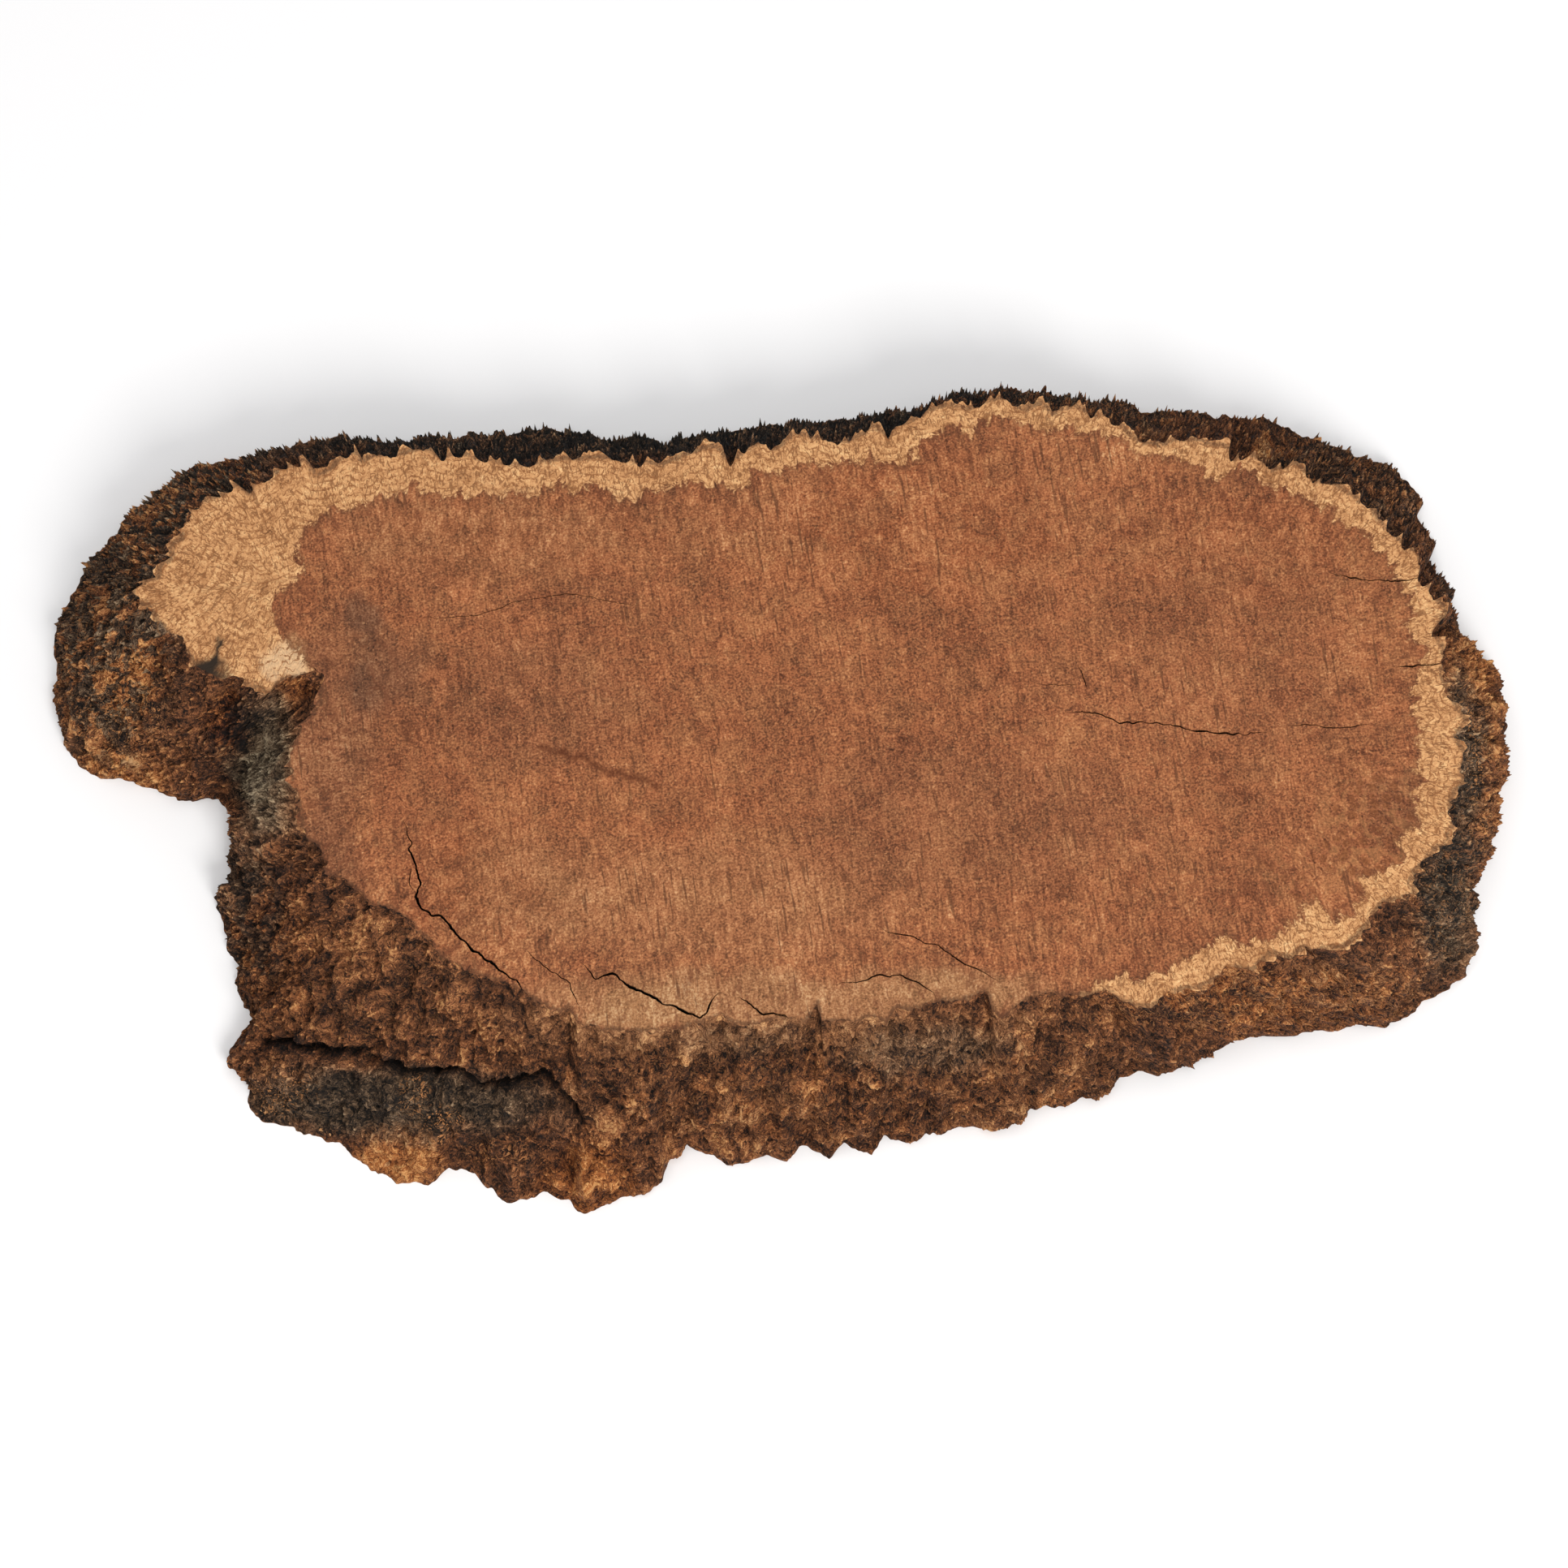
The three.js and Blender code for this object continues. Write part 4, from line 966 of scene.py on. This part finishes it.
    # Sapwood: gold, with dashes 1.1 mm wide that curl as they run out, bleached in the south,
    # and growth rings 2.6 mm apart that follow the teeth of the edge.
    gold = -0.6
    for part, weight in ((noises["specks"], 0.35), (curls, 0.9), (blotches, 0.9)):
        gold = add(tree, "Math", {0: part, 1: weight, 2: gold}, **SUM)
    gold = add(tree, "Math", {0: contours, 1: -0.22, 2: gold}, use_clamp=True, **SUM)
    sap = add(tree, "ValToRGB", {0: gold}, stops=[
        (0.0, "71492A"), (0.25, "A77347"), (0.5, "CD9663"), (0.72, "E0AF78"), (1.0, "F4D09C")])
    sap = layered(tree, sap, [(noises["dashes"], 0.53, 0.6, 0, 0.8, 1.0, "7E5230")])
    bleached = add(tree, "Math", {0: read["pale"], 1: 0.6}, operation="MULTIPLY")
    sap = add(tree, "Mix", {0: bleached, 6: sap, 7: colour("DEBC92")}, 2, **RGBA)
    rings = add(tree, "Math", {0: read["comb"], 1: 3.2, 2: read["rim"]}, **SUM)
    rings = add(tree, "Math", {0: rings, 1: RING_TURN}, operation="MULTIPLY")
    for part, weight in ((blotches, 7.0), (curls, 3.5)):
        rings = add(tree, "Math", {0: part, 1: weight, 2: rings}, **SUM)
    rings = add(tree, "Math", {0: rings}, operation="SINE")
    broken = add(tree, "MapRange", {"Value": streaks, "From Min": -0.08, "From Max": 0.02}, **SOFT)
    sap = layered(tree, sap, [(rings, 0.6, 1.0, 0, 0.85, broken, "895731")])

    # The ragged border between them, with a thin dark line on its heartwood side.
    border = add(tree, "Math", {0: noises["fingers"], 1: 9.0, 2: read["sap"]}, **SUM)
    for part, weight in ((curls, 5.0), (read["comb"], -4.0)):
        border = add(tree, "Math", {0: part, 1: weight, 2: border}, **SUM)
    border = add(tree, "Math", {0: border, 1: 5.4}, operation="SUBTRACT")
    golden = add(tree, "MapRange", {"Value": border, "From Min": -0.9, "From Max": 0.5}, **SOFT)
    face = add(tree, "Mix", {0: golden, 6: heart, 7: sap}, 2, **RGBA)
    fall = add(tree, "MapRange", {"Value": border, "From Min": 0.4, "From Max": -0.5,
                                  "To Max": 0.38}, **SOFT)

    # Torn brown edge, dark inlet, and painted shade inside the cracks, clear of both sawn faces.
    torn = add(tree, "Math", {0: curls, 1: -3.6, 2: read["rim"]}, **SUM)
    face = layered(tree, face, ((border, -2.6, -0.5, 0, 1.0, fall, "55321D"),
                                (torn, -0.4, -1.6, 0, 0.7, 1.0, "4A2D1B")))
    face = add(tree, "Mix", {0: read["inlet"], 6: face, 7: colour("2B2016")}, 2, **RGBA)
    # Painted shade: the crack walls darken from 0.2 to 1.2 mm under the sawn face, fading out near
    # the foot.
    level = add(tree, "SeparateXYZ", {0: where}, 2)
    above = add(tree, "MapRange", {"Value": level, "From Min": 0.3 * METRE,
                                   "From Max": 1.5 * METRE}, **SOFT)
    face = layered(tree, face, [(level, (THICKNESS - 0.2) * METRE, (THICKNESS - 1.2) * METRE,
                                 0, 1.0, above, "1F120A")])
    relief = add(tree, "Bump", {"Height": value, "Distance": 0.6 * METRE, "Strength": 0.6})
    shader = add(tree, "BsdfPrincipled", {"Base Color": face, "Roughness": 0.75,
                                          "Specular IOR Level": 0.2, "Normal": relief})
    add(tree, "OutputMaterial", {"Surface": shader})
    return made


def bark_material():
    """Burl bark: matted fibres, near black in the hollows and tan on the crests, with shade
    painted into the hollows from the relief's height.

    The eye gets a rough crust, black in patches, whose brown shifts between rust and
    weathered grey from one side to another, with pale flecks of torn wood.
    """
    made, tree = new_material("burl bark")
    where, read = sources(tree, ("height", "tone", "rust", "grey", "crust", "crease", "worn",
                                 "flecks"))
    _, curled = swirled(tree, where, 5, 9)
    noises = {}
    for name, size, detail, bent in (("fine", 0.8, 3.0, 0.8), ("middle", 2.6, 3.0, 1.5),
                                     ("flakes", 12.0, 5.0, 1.6), ("flecks", 1.5, 2.0, 1.2),
                                     ("crevice_shade", 2.8, 2.0, 0.6), ("strands", 1.6, 2.0, 0.6)):
        noises[name] = add(tree, "TexNoise", {"Vector": curled, "Scale": per_mm(size),
                                              "Detail": detail, "Distortion": bent})

    # How light the bark is: its tone, its height as painted shade in the hollows and lighter
    # crests, livelier in the crust, black in flakes.
    value = add(tree, "Math", {0: noises["fine"], 1: noises["middle"]}, operation="ADD")
    value = add(tree, "Math", {0: value, 1: 1.0}, operation="SUBTRACT")
    lively = add(tree, "Math", {0: read["crust"], 1: 0.55, 2: 0.75}, **SUM)
    value = add(tree, "Math", {0: value, 1: lively, 2: read["tone"]}, **SUM)
    black = add(tree, "MapRange", {"Value": noises["flakes"], "From Min": 0.46,
                                   "From Max": 0.5}, **SOFT)
    black = add(tree, "Math", {0: black, 1: read["crust"]}, operation="MULTIPLY")
    # The fine height darkens the hollows and lightens the crests: painted shade over the bark's
    # own colour.
    for part, weight in ((read["height"], 0.17), (black, -0.1)):
        value = add(tree, "Math", {0: part, 1: weight, 2: value}, **SUM)

    # Dark crevice lines of painted shade and pale strands, each half a millimetre wide, where a
    # noise crosses its middle, then painted shade along the ledge's crease.
    for name, amount in (("crevice_shade", -0.3), ("strands", 0.2)):
        thread = add(tree, "Math", {0: noises[name], 1: 0.5}, operation="SUBTRACT")
        thread = add(tree, "Math", {0: thread}, operation="ABSOLUTE")
        thread = add(tree, "MapRange", {"Value": thread, "From Min": 0.06,
                                        "From Max": 0.0}, **SOFT)
        value = add(tree, "Math", {0: thread, 1: amount, 2: value}, **SUM)
    # Painted shade along the ledge's crease, on top of the shade from its real depth.
    value = add(tree, "Math", {0: read["crease"], 1: -0.5, 2: value}, use_clamp=True, **SUM)
    mostly = add(tree, "Math", {0: black, 1: 0.92}, operation="MULTIPLY")
    face = ramped(tree, value, [
        (0.0, "0F0906"), (0.25, "2E1B11"), (0.5, "5E3922"), (0.75, "8E5734"), (1.0, "C8905A")], (
        (read["rust"], [(0.0, "140804"), (0.25, "3C1C0D"), (0.5, "73401F"), (0.75, "A86633"),
                        (1.0, "DCA163")]),
        (read["grey"], [(0.0, "100C08"), (0.25, "2F261C"), (0.5, "574735"), (0.75, "806D55"),
                        (1.0, "B5A283")]),
        (read["worn"], [(0.0, "2B180D"), (0.5, "8A5A38"), (1.0, "C99A6B")]),
        (mostly, [(0.0, "090706"), (0.3, "1B1611"), (0.55, "362C22"), (0.8, "584A3A"),
                  (1.0, "8C7A62")])))
    face = layered(tree, face, [(noises["flecks"], 0.57, 0.64, 0, 1.0, read["flecks"], "B87D4C")])
    relief = add(tree, "Bump", {"Height": noises["middle"], "Distance": 1.2 * METRE,
                                "Strength": 0.7})
    relief = add(tree, "Bump", {"Height": noises["fine"], "Distance": 0.6 * METRE,
                                "Strength": 0.7, "Normal": relief})
    shader = add(tree, "BsdfPrincipled", {"Base Color": face, "Roughness": 0.8,
                                          "Specular IOR Level": 0.2, "Normal": relief})
    add(tree, "OutputMaterial", {"Surface": shader})
    return made


def floor_material():
    """Smooth pale card: an even, matt near-white."""
    made, tree = new_material("pale card")
    shader = add(tree, "BsdfPrincipled", {"Base Color": colour("F2F0EE"), "Roughness": 0.9,
                                          "Specular IOR Level": 0.1})
    add(tree, "OutputMaterial", {"Surface": shader})
    return made


# The room, in metres: the floor's half side, the soft light from all sides, and two square
# lights, each as its place, its side and its power. Then the camera, at the photo's angle.
FLOOR_HALF = 3.0
ROOM_LIGHT = ("F4F6FA", 0.7)
LIGHTS = {"key": ((0.55, -1.15, 1.25), 0.6, 18), "above": ((0.0, 0.1, 2.0), 1.6, 12)}
CAMERA_PLACE = (0.0016, -0.3235, 1.2128)
CAMERA_TILT = math.radians(15)
CAMERA_LENS = 85
CAMERA_SENSOR = 36


def area_light(name, place, size, power):
    """A square soft light at a place, turned to the slice, in metres."""
    light = bpy.data.lights.new(name, "AREA")
    light.size = size
    light.energy = power
    made = bpy.data.objects.new(name, light)
    made.location = place
    made.rotation_euler = (-Vector(place)).to_track_quat("-Z", "Y").to_euler()
    bpy.context.scene.collection.objects.link(made)


pieces = {sawn_wood(): wood_material()}
bark = bark_material()
for shell_name, (first_rib, last_rib) in SHELLS.items():
    pieces[bark_shell(shell_name, first_rib, last_rib)] = bark
for piece, material in pieces.items():
    piece.data.materials.clear()
    piece.data.materials.append(material)
    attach(piece, "root")
    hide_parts("burl_slice")

floor = bpy.data.meshes.new("floor")
corners = [(-1, -1), (1, -1), (1, 1), (-1, 1)]
floor.from_pydata([(FLOOR_HALF * x, FLOOR_HALF * y, 0) for x, y in corners], [], [(0, 1, 2, 3)])
floor.materials.append(floor_material())
floor_object = bpy.data.objects.new("floor", floor)
bpy.context.scene.collection.objects.link(floor_object)

world = bpy.data.worlds.new("soft room")
bpy.context.scene.world = world
world.use_nodes = True
background = world.node_tree.nodes["Background"].inputs
background["Color"].default_value = colour(ROOM_LIGHT[0])
background["Strength"].default_value = ROOM_LIGHT[1]
for light_name, (place, side, power) in LIGHTS.items():
    area_light(light_name, place, side, power)
bpy.context.scene.view_settings.view_transform = "Standard"

camera = bpy.data.cameras.new("camera")
camera.lens = CAMERA_LENS
camera.sensor_width = CAMERA_SENSOR
camera_object = bpy.data.objects.new("camera", camera)
camera_object.location = CAMERA_PLACE
camera_object.rotation_euler = (CAMERA_TILT, 0, 0)
bpy.context.scene.collection.objects.link(camera_object)
bpy.context.scene.camera = camera_object
